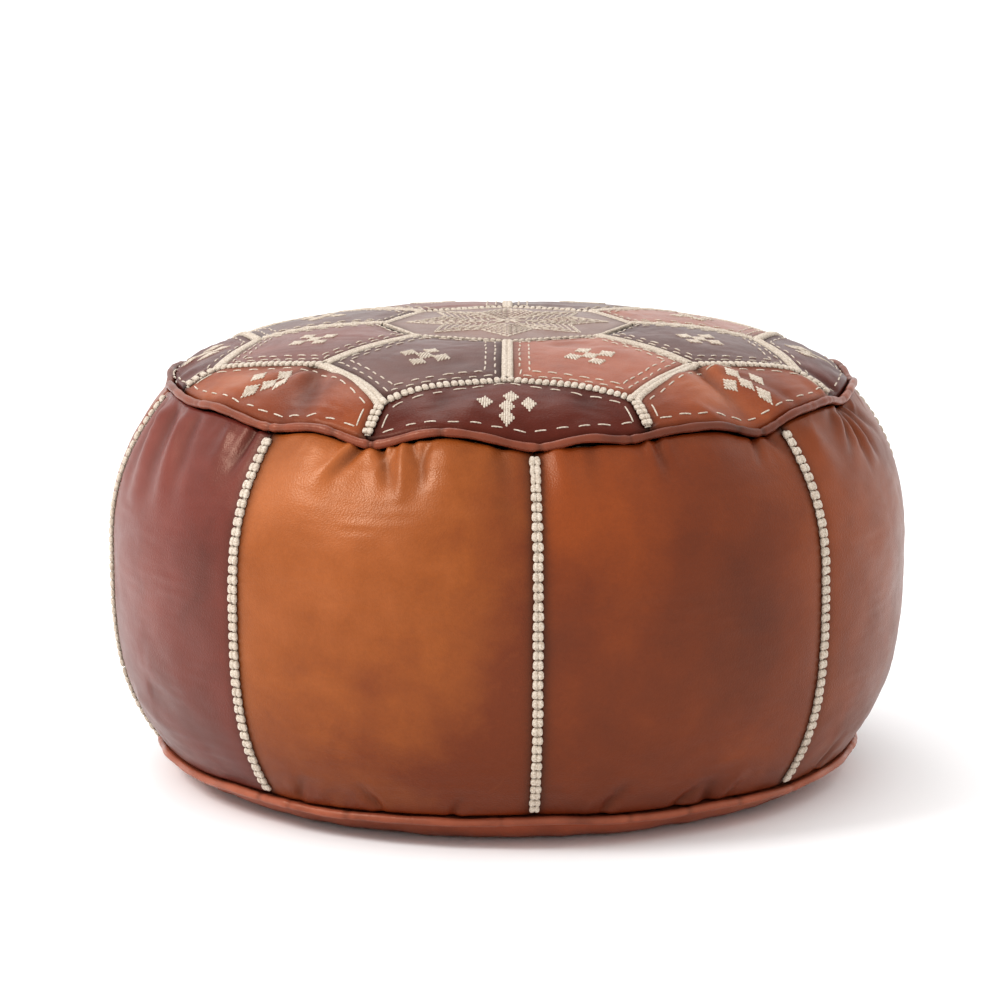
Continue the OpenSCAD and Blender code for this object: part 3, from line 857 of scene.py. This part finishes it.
def bead_braid(path, normals, pitch, width, height, seed, lobes=2, merged=0):
    """Rows of raised thread knots, lobes of them, over a flat thread core along a seam. So many of the first
    knots as merged says are run together."""
    rng = np.random.default_rng(seed)
    joint = np.concatenate([path, normals], 1)
    along = lengths_along(path)
    count = max(2, int(round(along[-1] / pitch)))
    at = (np.arange(count) + 0.5) * along[-1] / count
    at = at + rng.normal(0, 0.03 * pitch, count)
    sample = np.stack([np.interp(at, along, joint[:, i]) for i in range(6)], -1)
    centre, normal = sample[:, :3], unit(sample[:, 3:])
    tangent = unit(np.gradient(centre, axis=0))
    side = unit(np.cross(tangent, normal))
    normal = np.cross(side, tangent)
    unit_points, unit_faces = BEAD
    length = np.full(count, 0.455 * pitch)
    length[:merged] = 0.6 * pitch
    ways, half_width = ((-1, 1), 0.29 * width) if lobes == 2 else ((0,), 0.48 * width)
    parts = []
    for way in ways:
        lean = math.radians(5) * way
        axes = (tangent * math.cos(lean) + side * math.sin(lean),
                side * math.cos(lean) - tangent * math.sin(lean), normal)
        size = (1 + rng.normal(0, 0.05, (count, 3))) * np.stack(
            [length, np.full(count, half_width), np.full(count, 0.62 * height)], 1)
        p = centre + side * (way * width * 0.22) + normal * (0.22 * height)
        p = (p + side * rng.normal(0, 0.02 * width, (count, 1)))[:, None]
        for i, axis in enumerate(axes):
            p = p + unit_points[None, :, i:i + 1] * size[:, None, i:i + 1] * axis[:, None]
        parts.append((p.reshape(-1, 3), repeated(unit_faces, count, len(unit_points))))
    core = resampled(joint, 2.0 * MM)
    up = unit(core[None, :, 3:])
    parts.append(tubes(core[None, :, :3] - 0.3 * height * up, up, width * 0.3, 8, 0.35))
    return joined(parts)


# where a slanted thread's points are: across, along and above the seam
LADDER = (1, -1, -0.45), (0.82, -0.7, 0.3), (0.45, 0, 0.55), (0.08, 0.8, 0.4), (-0.08, 1.1, -0.3)


def ladder_braid(path, normals, pitch, width, height, seed):
    """A flat plait: slanted threads laid close together, meeting along the middle."""
    rng = np.random.default_rng(seed)
    joint = resampled(np.concatenate([path, normals], 1), pitch)
    centre, normal = joint[:, :3], unit(joint[:, 3:])
    tangent = unit(np.gradient(centre, axis=0))
    side = unit(np.cross(tangent, normal))
    parts = []
    for way in (-1, 1):
        out = side * way * width * 0.5
        back = tangent * pitch * 0.9
        rows = [centre + out * o + back * b + normal * (h * height) for o, b, h in LADDER]
        paths = np.stack(rows, 1) + rng.normal(0, 0.05 * MM, (len(centre), 1, 3))
        parts.append(tubes(paths, normal[:, None], pitch * 0.62))
    return joined(parts)


def thread_piece(name, parts, nodes=(), material=thread):
    return finished(new_object(name, *joined(parts)), material, nodes)


# side seams
for n, letter in enumerate("abcdefgh"):
    column = n * CELLS
    path = side_rest[:, column]
    azimuth = math.radians(sewn_azimuth(side_azimuth[column]))
    across = np.array([math.cos(azimuth), math.sin(azimuth), 0])
    normals = unit(np.cross(across, np.gradient(path, axis=0)))[3:-3][::-1]
    part = bead_braid(path[3:-3][::-1] + normals * 0.9 * MM, normals, 6.1 * MM, 6.7 * MM, 2.7 * MM, 100 + n,
                      merged=3 if letter == "a" else 0)
    thread_piece("braid_side_" + letter, [part], ["side_braid_" + letter])

# top seams
top_normals = grid_normals(top_rest, True)
FLAT_SIDES = (2, 4, 6, 9, 11, 13, 15)      # the zigzag's sides that are plaited flat; the others are knotted


def top_seam(rows, columns, lift=2.1 * MM):
    path, normals = top_rest[rows, columns], top_normals[rows, columns]
    return path + normals * lift, normals


def zigzag_side(n):
    seam = top_seam(ZIGZAG_ROW, span(n * CELLS // 2, CELLS // 2))
    if n in FLAT_SIDES:
        return ladder_braid(*seam, 1.6 * MM, 7.4 * MM, 2.3 * MM, 140 + n)
    return bead_braid(*seam, 4.7 * MM, 6.6 * MM, 3.2 * MM, 140 + n, lobes=1)


def spoke(n):
    seam = top_seam(np.arange(ZIGZAG_ROW + 1, len(top_rest)), (FIRST_SPOKE + n * CELLS) % COLUMNS)
    return ladder_braid(*seam, 1.5 * MM, 6.8 * MM, 2.4 * MM, 120 + n)


def rim_seam(n):
    return bead_braid(*top_seam(np.arange(2, ZIGZAG_ROW), n * CELLS), 4.8 * MM, 7 * MM, 2.4 * MM, 160 + n)


def medallion_side(n):
    seam = top_seam(len(top_rest) - 1, span(FIRST_SPOKE + n * CELLS), 1.6 * MM)
    return bead_braid(*seam, 4.4 * MM, 5.2 * MM, 2.2 * MM, 180 + n, lobes=1)


for name, count, braid, node in (("spokes", PETALS, spoke, "spoke_braids"),
                                 ("zigzag", 2 * PETALS, zigzag_side, "zigzag_braid"),
                                 ("rim", PETALS, rim_seam, "rim_braids"),
                                 ("medallion", PETALS, medallion_side, "medallion_braid")):
    thread_piece("braid_" + name, [braid(n) for n in range(count)], [node])

# -------- running stitches and motifs

def polar(r, azimuth):
    a = math.radians(azimuth)
    return np.array([r * math.sin(a), -r * math.cos(a)])


def inset_outline(corners, gaps):
    """The corners of a closed outline moved in by a gap per edge; edge i runs from corner i to the next."""
    count = len(corners)
    middle = np.mean(corners, axis=0)
    lines = []
    for i in range(count):
        p, q = corners[i], corners[(i + 1) % count]
        along = unit(q - p)
        inwards = np.array([-along[1], along[0]])
        inwards = inwards if np.dot(middle - p, inwards) > 0 else -inwards
        lines.append((p + inwards * gaps[i], along))
    found = []
    for i in range(count):
        (p, a), (q, b) = lines[i - 1], lines[i]
        cross = a[0] * b[1] - a[1] * b[0]
        d = q - p
        found.append(q if abs(cross) < 0.05 else p + a * (d[0] * b[1] - d[1] * b[0]) / cross)
    return found


def dashes(points, stitch, gap, seed):
    """Starts and ends of running stitches along a line of points x, y, a little uneven as by hand."""
    rng = np.random.default_rng(seed)
    points = np.array(points)
    along = lengths_along(points)
    margin = 1.5 * MM
    run = along[-1] - 2 * margin
    number = max(1, int(round((run + gap) / (stitch + gap))))
    pitch = (run + gap) / number
    start = margin + np.arange(number) * pitch + rng.normal(0, 0.35 * MM, number)
    stop = start + (pitch - gap) * rng.uniform(0.85, 1.1, number)
    return [np.stack([np.interp(s, along, column) for column in points.T], -1)
            + rng.normal(0, 0.3 * MM, (number, 2)) for s in (start, stop)]


sewn = []
for n in range(PETALS):
    a = n * PITCH
    left, right = a - PITCH / 2, a + PITCH / 2
    corners = [polar(MEDALLION_R, a), polar(SPOKE_R, a), polar(POINT_R, right), polar(SPOKE_R, a + PITCH),
               polar(MEDALLION_R, a + PITCH)]
    # two rows inside an inner petal; the second leaves out the medallion's side
    for row, (gap, medallion_gap, sides) in enumerate(((8 * MM, 7 * MM, 5), (14 * MM, 9 * MM, 4))):
        c = inset_outline(corners, [gap] * 4 + [medallion_gap])
        c = c + c[:1]
        sewn += [dashes(c[i:i + 2], 5.6 * MM, 4.4 * MM, 200 + 20 * n + 5 * row + i) for i in range(sides)]
    # one row inside an outer petal; along the rim it follows the welt
    tips = [polar(POINT_R, left), polar(SPOKE_R, a), polar(POINT_R, right), polar(229 * MM, right),
            polar(229 * MM, left)]
    c = inset_outline(tips, [9 * MM, 9 * MM, 8.5 * MM, 2 * MM, 8.5 * MM])
    turns = [a + wrapped(math.degrees(math.atan2(p[0], -p[1])) - a) for p in (c[3], c[4])]
    rim = [polar(225 * MM, t) for t in np.linspace(*turns, 16)]
    for k, path in enumerate(([c[0], c[1]], [c[1], c[2]], [c[2], rim[0]], rim, [rim[-1], c[0]])):
        sewn.append(dashes(path, 7.6 * MM, 5.8 * MM, 600 + 10 * n + k))
thread_piece("running_stitches", [stitches(sewn, 0.58 * MM)])


def diamond(centre, across, along, turn):
    """Seven satin stitches laid side by side into a lozenge, along the turn, in degrees of azimuth."""
    up = polar(1, turn)
    side = np.array([-up[1], up[0]])
    at = np.arange(-3, 4) / 3.45
    reach = np.maximum(along / 2 * (1 - np.abs(at))[:, None], 0.7 * MM)
    foot = centre + side * (at * across / 2)[:, None]
    return foot - up * reach, foot + up * reach


def motif(spots, across, along, turn, seed):
    rng = np.random.default_rng(seed)
    return [diamond(np.array(s) + rng.normal(0, 0.4 * MM, 2), across * rng.uniform(0.94, 1.06),
                    along * rng.uniform(0.94, 1.06), turn + rng.normal(0, 4)) for s in spots]


def local(r, azimuth, offsets):
    """Places given in mm as across, outwards from a point at radius r."""
    up = polar(1, azimuth)
    side = np.array([-up[1], up[0]])
    return [polar(r, azimuth) + side * x * MM + up * y * MM for x, y in offsets]


INNER_SPOTS = (0, 0), (-11.5, 0), (11.5, 0), (0, -11), (0, 11)
OUTER_MOTIF = 0, ((2.5, -10.5), (-0.5, -0.5), (0.5, 9), (-14, -4.5), (13.5, -4))     # turn in degrees, spots
FRONT_MOTIFS = {1: (3, ((3, -13), (0, 0), (4, 11), (-9, -6), (15.5, -5))),
                7: (-3, ((-0.5, -13.5), (0, 0), (-6, 9.5), (-12.5, -2), (10.5, -2)))}
inner, outer = [], []
for n in range(PETALS):
    a = (n + 0.5) * PITCH
    inner += motif(local(138 * MM, a, INNER_SPOTS), 11.5 * MM, 12.5 * MM, a, 240 + n)
    a = n * PITCH
    turn, spots = FRONT_MOTIFS.get(n, OUTER_MOTIF)
    outer += motif(local((208 if n == 0 else 205) * MM, a + turn, spots), 9.5 * MM, 15 * MM, a, 260 + n)
thread_piece("motifs_inner", [stitches(inner, 0.78 * MM)], ["inner_petal_motifs"])
thread_piece("motifs_outer", [stitches(outer, 0.78 * MM)], ["outer_petal_motifs"])


def line_stitches(points, stitch, gap):
    """Starts and ends of even stitches along the straight lines from point to point."""
    starts, ends = [], []
    for p, q in zip(points[:-1], points[1:]):
        length = np.linalg.norm(q - p)
        number = max(1, int(round(length / stitch)))
        for k in range(number):
            starts.append(p + (q - p) * k / number)
            ends.append(p + (q - p) * ((k + 1) / number - gap / length))
    return starts, ends


# the medallion: eight-pointed stars, one inside the other, and three threads to each point in the middle
STAR_TIP, STAR_NOTCH = 66, 44
star = []
for tip in np.append(np.arange(STAR_TIP, 14, -6.6), STAR_TIP + 2.6):
    notch = tip * STAR_NOTCH / STAR_TIP
    outline = [polar((tip if k % 2 == 0 else notch) * MM, k * PITCH / 2) for k in range(17)]
    star.append(line_stitches(outline, 6.5 * MM, 0.9 * MM))
for k in range(PETALS):
    for x in (-1.1, 0, 1.1):
        foot, tip = local(0, k * PITCH, ((x * 0.3, 2), (x, 12 - abs(x) * 2.4)))
        star.append(([foot], [tip]))
thread_piece("embroidery_medallion", [stitches(star, 0.52 * MM)], ["medallion_embroidery"])

# -------- welts

def ring_sweep(r, z, profile, azimuth, scale=1.0):
    """A closed ring: r and z per azimuth, profile points (outwards, upwards) from the ring's centre line."""
    profile = np.asarray(profile, float)
    points = around(r + profile[:, :1] * scale, azimuth, z + profile[:, 1:] * scale)
    rows, columns = points.shape[:2]
    faces = np.array(grid_faces(rows + 1, columns, closed=True)) % (rows * columns)
    return points.reshape(-1, 3), faces.tolist()


def turned_over(faces):
    return [face[::-1] for face in faces]


def welt_profile(up):
    """A leather strip folded round a cord, with its two edges together in a tail that points inwards."""
    tail = np.array([-0.866, -0.5 * up])
    out = np.array([-tail[1], tail[0]])
    points = [WELT_R * (math.cos(a) * tail + math.sin(a) * out)
              for a in np.linspace(math.radians(20), math.radians(340), 21)]
    return points + [tail * 10.5 * MM - out * 0.9 * MM, tail * 10.5 * MM + out * 0.9 * MM]


def welt(name, centre, up, shift, pull, pinches, dye, node, seed):
    """A welt's leather cover, up 1 at the top and -1 at the foot. Returns its cord's points and faces."""
    rng = np.random.default_rng(seed)
    azimuth = np.arange(900) * 0.4
    a = np.radians(azimuth)
    wave = sum(rng.normal(0, 0.35) * np.sin(k * a + rng.uniform(0, 6)) for k in range(7, 40, 3))
    r = centre[0] + pull(azimuth) + wave * 0.5 * MM
    z = centre[1] + shift(azimuth) + 0.35 * wave * MM
    scale = 1 + 0.03 * sum(rng.normal(0, 1) * np.sin(k * a + rng.uniform(0, 6)) for k in (23, 41, 67))
    for at, deep, width in pinches:
        near = np.abs(wrapped(azimuth - at))
        scale = scale * (1 - deep * np.exp(-(near / width) ** 2)
                         + 0.5 * deep * np.exp(-((near - 2.2 * width) / width) ** 2))
    profile = welt_profile(up)
    cover, faces = ring_sweep(r, z, profile, azimuth, scale)
    hole, hole_faces = ring_sweep(r, z, circle(CORD_R, 12), azimuth)
    faces = turned_over(faces) if up < 0 else faces
    obj = new_object(name, *joined([(cover, faces), (hole, turned_over(hole_faces))]))
    pinched = 1 - np.clip(scale / np.median(scale), 0, 1)
    # painted shade: the tail that turns into the seam gets the full seam shade, and the pinches get crease
    # shade; tone varies round the ring
    for key, values in (("seam", np.repeat([0.0] * 21 + [1.0] * 2, len(azimuth))),
                        ("tone", np.tile(0.12 * np.sin(3 * a + seed), len(profile))),
                        ("crease", np.tile(np.clip(pinched * 6, 0, 1), len(profile)))):
        attribute(obj, key, np.concatenate([values, np.zeros(len(hole))]))
    finished(obj, leather(name + "_leather", dye, seed=70 + seed), [node])
    # the cord inside: three strands laid round each other
    strands = []
    lay = np.arange(1800) * 0.2
    for s in range(3):
        turn = np.radians(lay * 70) + s * 2 * math.pi / 3
        strand_r = np.interp(lay, azimuth, r, period=360) + 0.9 * MM * np.cos(turn)
        strand_z = np.interp(lay, azimuth, z, period=360) + 0.9 * MM * np.sin(turn)
        strands.append(ring_sweep(strand_r, strand_z, circle(0.98 * MM, 5), lay))
    return joined(strands)


# azimuth, depth and width of the places where a welt is pinched: at the deeper dips, and at random
rng = np.random.default_rng(21)
top_pinches = [(at + 0.3, 0.16, 0.45) for at, drop, _ in RIM_DIPS if drop > 4]
top_pinches += [(at, 0.1, 0.5) for at in rng.uniform(-180, 180, 26)]
foot_pinches = [(at, 0.1, 0.5) for at in rng.uniform(-180, 180, 22)]
top_cord = welt("welt_top", TOP_WELT, 1, rim_shift, rim_pull, top_pinches, TOP_WELT_DYE, "top_welt_cover", 3)
foot_cord = welt("welt_base", FOOT_WELT, -1, foot_shift, np.zeros_like, foot_pinches, BASE_WELT_DYE,
                 "base_welt_cover", 4)
cord_cotton = thread_material("cord_cotton", (226, 214, 190), (184, 166, 136))
for name, cord, node in (("cord_top", top_cord, "top_welt_cord"), ("cord_base", foot_cord, "base_welt_cord")):
    finished(new_object(name, *cord), cord_cotton, [node])

# -------- base and zip

CHANNEL_HALF, RAMP = 18 * MM, 27 * MM
SLIT_HALF, SLIT_END, SLIT_GAP = 8 * MM, 199 * MM, 0.35 * MM
BASE_EDGE_R, BASE_EDGE_Z = FOOT_WELT[0] - 3.1 * MM, FOOT_WELT[1] - 2.1 * MM


def channel_z(y, depth):
    """Height of the roof of the channel that the zip lies in."""
    return depth * (1 + np.cos(math.pi * np.clip((np.abs(y) - CHANNEL_HALF) / RAMP, 0, 1))) / 2


def base_half(turned):
    """The base's front half, or its back half when turned. Its rows go from the zip's slit to the welt."""
    theta = np.linspace(-90, 90, 113)
    x = SLIT_END * np.sin(np.radians(theta))
    bend = np.clip((SLIT_END - np.abs(x)) / (10 * MM), 0, 1)
    start = np.stack([x, -(SLIT_GAP + (SLIT_HALF - SLIT_GAP) * bend ** 0.5)], -1)
    end = around(BASE_EDGE_R, theta, 0)[:, :2]
    end[:, 1] = np.minimum(end[:, 1], -SLIT_GAP)
    t = np.linspace(0, 1, 29)[:, None, None]
    flat = start[None] * (1 - t) + end[None] * t
    azimuth = np.degrees(np.arctan2(flat[..., 0], -flat[..., 1])) + 180 * turned
    rise = np.clip((np.hypot(flat[..., 0], flat[..., 1]) - REST_R) / (BASE_EDGE_R - REST_R), 0, 1)
    a = np.radians(azimuth)
    pucker = sum(np.sin(k * a + k) for k in (13, 22, 31, 47)) * 0.35
    z = np.maximum((BASE_EDGE_Z + foot_shift(azimuth)) * rise ** 2.2, channel_z(flat[..., 1], ZIP_ROOF))
    z = z + np.clip(pucker + 0.5, 0, 2) * np.sin(math.pi * rise) * 0.8 * MM + 0.15 * MM
    tuck = around(BASE_EDGE_R - 2.6 * MM, theta, BASE_EDGE_Z + 1.7 * MM)
    tuck[:, 2] += foot_shift(theta + 180 * turned)
    grid = np.concatenate([np.concatenate([flat, z[..., None]], -1), tuck[None]])
    grid = refined(refined(grid * (-1, -1, 1) if turned else grid, 0), 1)
    grid[..., 2] = np.maximum(grid[..., 2], 0.1 * MM)
    return grid


base_grids = []
for name, turned in (("front", False), ("back", True)):
    grid = base_half(turned)
    base_grids.append(grid)
    panel = leather_panel("skin_base_" + name, grid, (0, 0, 1, 1))
    dyed = leather("base_leather_" + name, BASE_DYE, seed=80 + 3 * turned, roughness=0.42)
    finished(panel, dyed, ["base_panel_" + name])
on_base = laying_on(base_grids, -0.1, 1, lambda x, y: ZIP_ROOF)

seams = []
for way in (-1, 1):
    lines = [(-188 * MM, 188 * MM, way * (SLIT_HALF + 3.2 * MM), 6.2 * MM)]
    lines += [(end * 200 * MM, end * 230 * MM, way * 3 * MM, 6 * MM) for end in (-1, 1)]
    seams += [line_stitches([np.array([x0, y]), np.array([x1, y])], stitch, 1.6 * MM)
              for x0, x1, y, stitch in lines]
base_seams = stitches(seams, 0.5 * MM, on_base)
brown_thread = thread_material("brown_thread", (120, 74, 48), (80, 46, 30))
thread_piece("base_stitches", [base_seams], material=brown_thread)

tape_cloth = cloth_material("zip_tape_weave", (98, 72, 56), (62, 42, 32), 0.55 * MM, 0.00015)
nylon = Nodes("coil_nylon")
nylon_tone = nylon.span(nylon.noise(300, 3), 0.3, 0.7)
nylon.set(Base_Color=nylon.mix(nylon_tone, srgb(92, 66, 50), srgb(120, 90, 70)),
          Roughness=nylon.span(nylon.noise(500, 2), 0.3, 0.7, 0.28, 0.45),
          Normal=nylon.bump(nylon.noise(1500, 2), 0.00005, 0.4))
COIL_PITCH = 1.5 * MM

for name, way in (("front", -1), ("back", 1)):
    low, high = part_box("zip_tape_" + name)
    x, y = np.meshgrid(np.linspace(low.x, high.x, 405), np.linspace(low.y, high.y, 14))
    beside = np.abs(np.abs(y) - min(abs(low.y), abs(high.y)) - 3.2 * MM)       # the seam along the coil
    z = high.z - 0.06 * MM * (1 + np.sin(x / MM * math.pi)) - 0.12 * MM * np.exp(-(beside / (0.8 * MM)) ** 2)
    grid = np.stack([x, y, z], -1)
    tape = closed_piece("tape_" + name, grid, grid - grid_normals(grid) * (high.z - low.z - 0.15 * MM))
    finished(tape, tape_cloth, ["zip_tape_" + name])
    low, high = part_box("zip_coil_" + name)
    turns = int((high.x - low.x) / COIL_PITCH) - 1
    s = np.linspace(0, turns, turns * 12 + 1)
    angle = 2 * math.pi * s
    mid_y, mid_z = (low.y + high.y) / 2, (low.z + high.z) / 2
    start = low.x + 0.7 * MM + (0.5 * COIL_PITCH if way > 0 else 0)
    path = np.stack([start + COIL_PITCH * (s + 0.14 * np.sin(2 * angle)),
                     mid_y - way * 0.35 * MM + 1.15 * MM * np.cos(angle),
                     mid_z + 0.78 * MM * np.sin(angle)], -1)
    axis = np.stack([np.zeros_like(s), np.cos(angle), np.sin(angle)], -1)
    core = np.stack(np.broadcast_arrays(np.linspace(low.x, high.x, 60), mid_y + way * 0.2 * MM, mid_z), -1)
    coil = joined([tubes(path[None], axis[None], 0.33 * MM, 6, 0.9),
                   tubes(core[None], np.array([[[0, 0, 1.0]]]), 0.42 * MM, 8, 1.0)])
    finished(new_object("coil_" + name, *coil), nylon.material, ["zip_coil_" + name])

brass = Nodes("brass_antique")
tarnish = brass.noise(160, 5, 0.65, 0.5)
brass.set(Base_Color=brass.ramp(tarnish, (0.3, srgb(96, 70, 36)), (0.5, srgb(176, 134, 70)),
                                (0.75, srgb(206, 166, 96))),
          Roughness=brass.span(brass.noise(420, 4, 0.7, 0, 2, (1, 12, 12)), 0.3, 0.7, 0.26, 0.5),
          Normal=brass.bump(brass.noise(600, 3, 0.6, 0, 3, (1, 14, 14)), 0.00006, 0.5))
brass.shader.inputs["Metallic"].default_value = 1.0
for node in ("zip_slider", "zip_pull_tab", "zip_top_stops", "zip_bottom_stop"):
    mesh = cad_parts[node].data
    mesh.materials.clear()
    mesh.materials.append(brass.material)

# -------- inside: canvas, bag and filling

canvas = cloth_material("canvas_weave", (214, 200, 170), (176, 158, 126), 0.9 * MM)
calico = cloth_material("calico_weave", (232, 224, 204), (200, 188, 162), 0.5 * MM)
cotton = cloth_material("cotton_stuffing", (236, 230, 214), (206, 198, 178), 2.4 * MM, 0.001)

t, azimuth = disc(60)
above = t * 214                  # mm: the canvas follows the leather a little further out than it lies itself
z = dome_z(above * MM) - 5.8 * MM + 0.5 * MM * np.sin(6 * np.radians(azimuth)) * t
z = z + rim_shift(azimuth) * np.clip(above - 180, 0, 1) * np.clip((above - 180) / 49, 0, 1) ** 1.5
grid = around(t * 212 * MM, azimuth, z)
backing = closed_piece("backing_canvas", grid, grid - grid_normals(grid) * (0.8 * MM))
finished(backing, canvas, ["top_backing"])


def lumpy_skin(depth, lumps):
    """Points and faces of a closed skin inside the leather, depth further in than the bag. Its rings run from
    the bottom's middle to the top's."""
    rng = np.random.default_rng(31)
    waves = [(int(rng.integers(3, 22)), rng.uniform(0, 6), rng.uniform(0.02, 0.07), rng.normal(0, 1))
             for _ in range(14)]
    path = [(4, 3), (60, 3), (120, 3), (180, 3), (203, 6), (214, 12), (222, 22), (229, 33)]
    path += [(float(side_r(h * MM)) / MM - 10, h) for h in np.linspace(48, 236, 40)]
    path += [(227, 243), (221, 250), (213, 262)]
    path += [(r, dome_z(r * MM) / MM - 9) for r in (203, 190, 170, 145, 110, 70, 30, 4)]
    path = resampled(path, 5) * MM
    inwards = unit((130 * MM, 140 * MM) - path)
    azimuth = np.arange(144) * 360 / 144
    rows, columns = len(path), len(azimuth)
    a, s = np.radians(azimuth)[None], np.arange(rows)[:, None]
    wave = sum(w * np.sin(k * a + p + f * 10 * s) for k, p, f, w in waves) * lumps / 3
    d = depth + np.abs(wave)
    grid = around(path[:, :1] + inwards[:, :1] * d * (path[:, :1] > 20 * MM), azimuth[None],
                  path[:, 1:] + inwards[:, 1:] * d)
    grid[..., 2] = np.maximum(grid[..., 2], 2 * MM + depth + channel_z(grid[..., 1], 10 * MM))
    points = np.concatenate([grid.reshape(-1, 3), grid[0].mean(0)[None], grid[-1].mean(0)[None]])
    bottom, top, last = rows * columns, rows * columns + 1, (rows - 1) * columns
    faces = grid_faces(rows, columns, closed=True)
    faces += [[bottom, (i + 1) % columns, i] for i in range(columns)]
    faces += [[top, last + i, last + (i + 1) % columns] for i in range(columns)]
    return points, faces


points, faces = lumpy_skin(0.9 * MM, 1.2 * MM)
calico_mesh = joined([lumpy_skin(0.0, 1.2 * MM), (points, turned_over(faces))])
bag = finished(new_object("bag_calico", *calico_mesh), calico, ["inner_bag"])
stuffing = new_object("stuffing_cotton", *lumpy_skin(1.6 * MM, 3 * MM))
finished(stuffing, cotton, ["filling"])
area = sum(p.area for p in backing.data.polygons) / 2
across = round(2 * math.sqrt(area / math.pi), 3)

# -------- stage

TARGET = Vector((0, 0, 155 * MM))
DISTANCE, ELEVATION = 2.4, math.radians(11.38)
camera_data = bpy.data.cameras.new("camera")
camera = bpy.data.objects.new("camera", camera_data)
bpy.context.scene.collection.objects.link(camera)
camera.location = TARGET + Vector((0, -math.cos(ELEVATION), math.sin(ELEVATION))) * DISTANCE
camera_data.sensor_width = 36
camera_data.lens = 126.4
camera.rotation_euler = (math.pi / 2 - ELEVATION + math.radians(0.556), 0, math.radians(0.122))
camera_data.clip_end = 60
bpy.context.scene.camera = camera

corners = [(-30, -30, 0), (30, -30, 0), (30, 30, 0), (-30, 30, 0)]
floor = new_object("floor", corners, [(0, 1, 2, 3)], smooth=False)
paper = Nodes("floor")
whites = [(grey, grey, grey, 1) for grey in (0.95, 0.97)]
paper.set(Base_Color=paper.mix(paper.span(paper.noise(3, 2), 0.3, 0.7), *whites), Roughness=0.7)
floor.data.materials.append(paper.material)


def area_light(name, size, power, place):
    """A square light that points at the middle of the pouf."""
    data = bpy.data.lights.new(name, "AREA")
    data.size = size
    data.energy = power
    light = bpy.data.objects.new(name, data)
    light.location = place
    light.rotation_euler = (Vector((0, 0, 0.15)) - Vector(place)).to_track_quat("-Z", "Y").to_euler()
    bpy.context.scene.collection.objects.link(light)


area_light("key", 0.7, 23, (-1.5, -0.9, 1.6))
area_light("back", 1.2, 9, (-0.5, 1.1, 2.2))
world = bpy.data.worlds.new("studio")
bpy.context.scene.world = world
world.use_nodes = True
sky = world.node_tree.nodes["Background"].inputs
sky["Color"].default_value = (1, 1, 1, 1)
sky["Strength"].default_value = 1.1
bpy.context.scene.view_settings.view_transform = "Standard"
bpy.context.scene.view_settings.look = "Medium High Contrast"
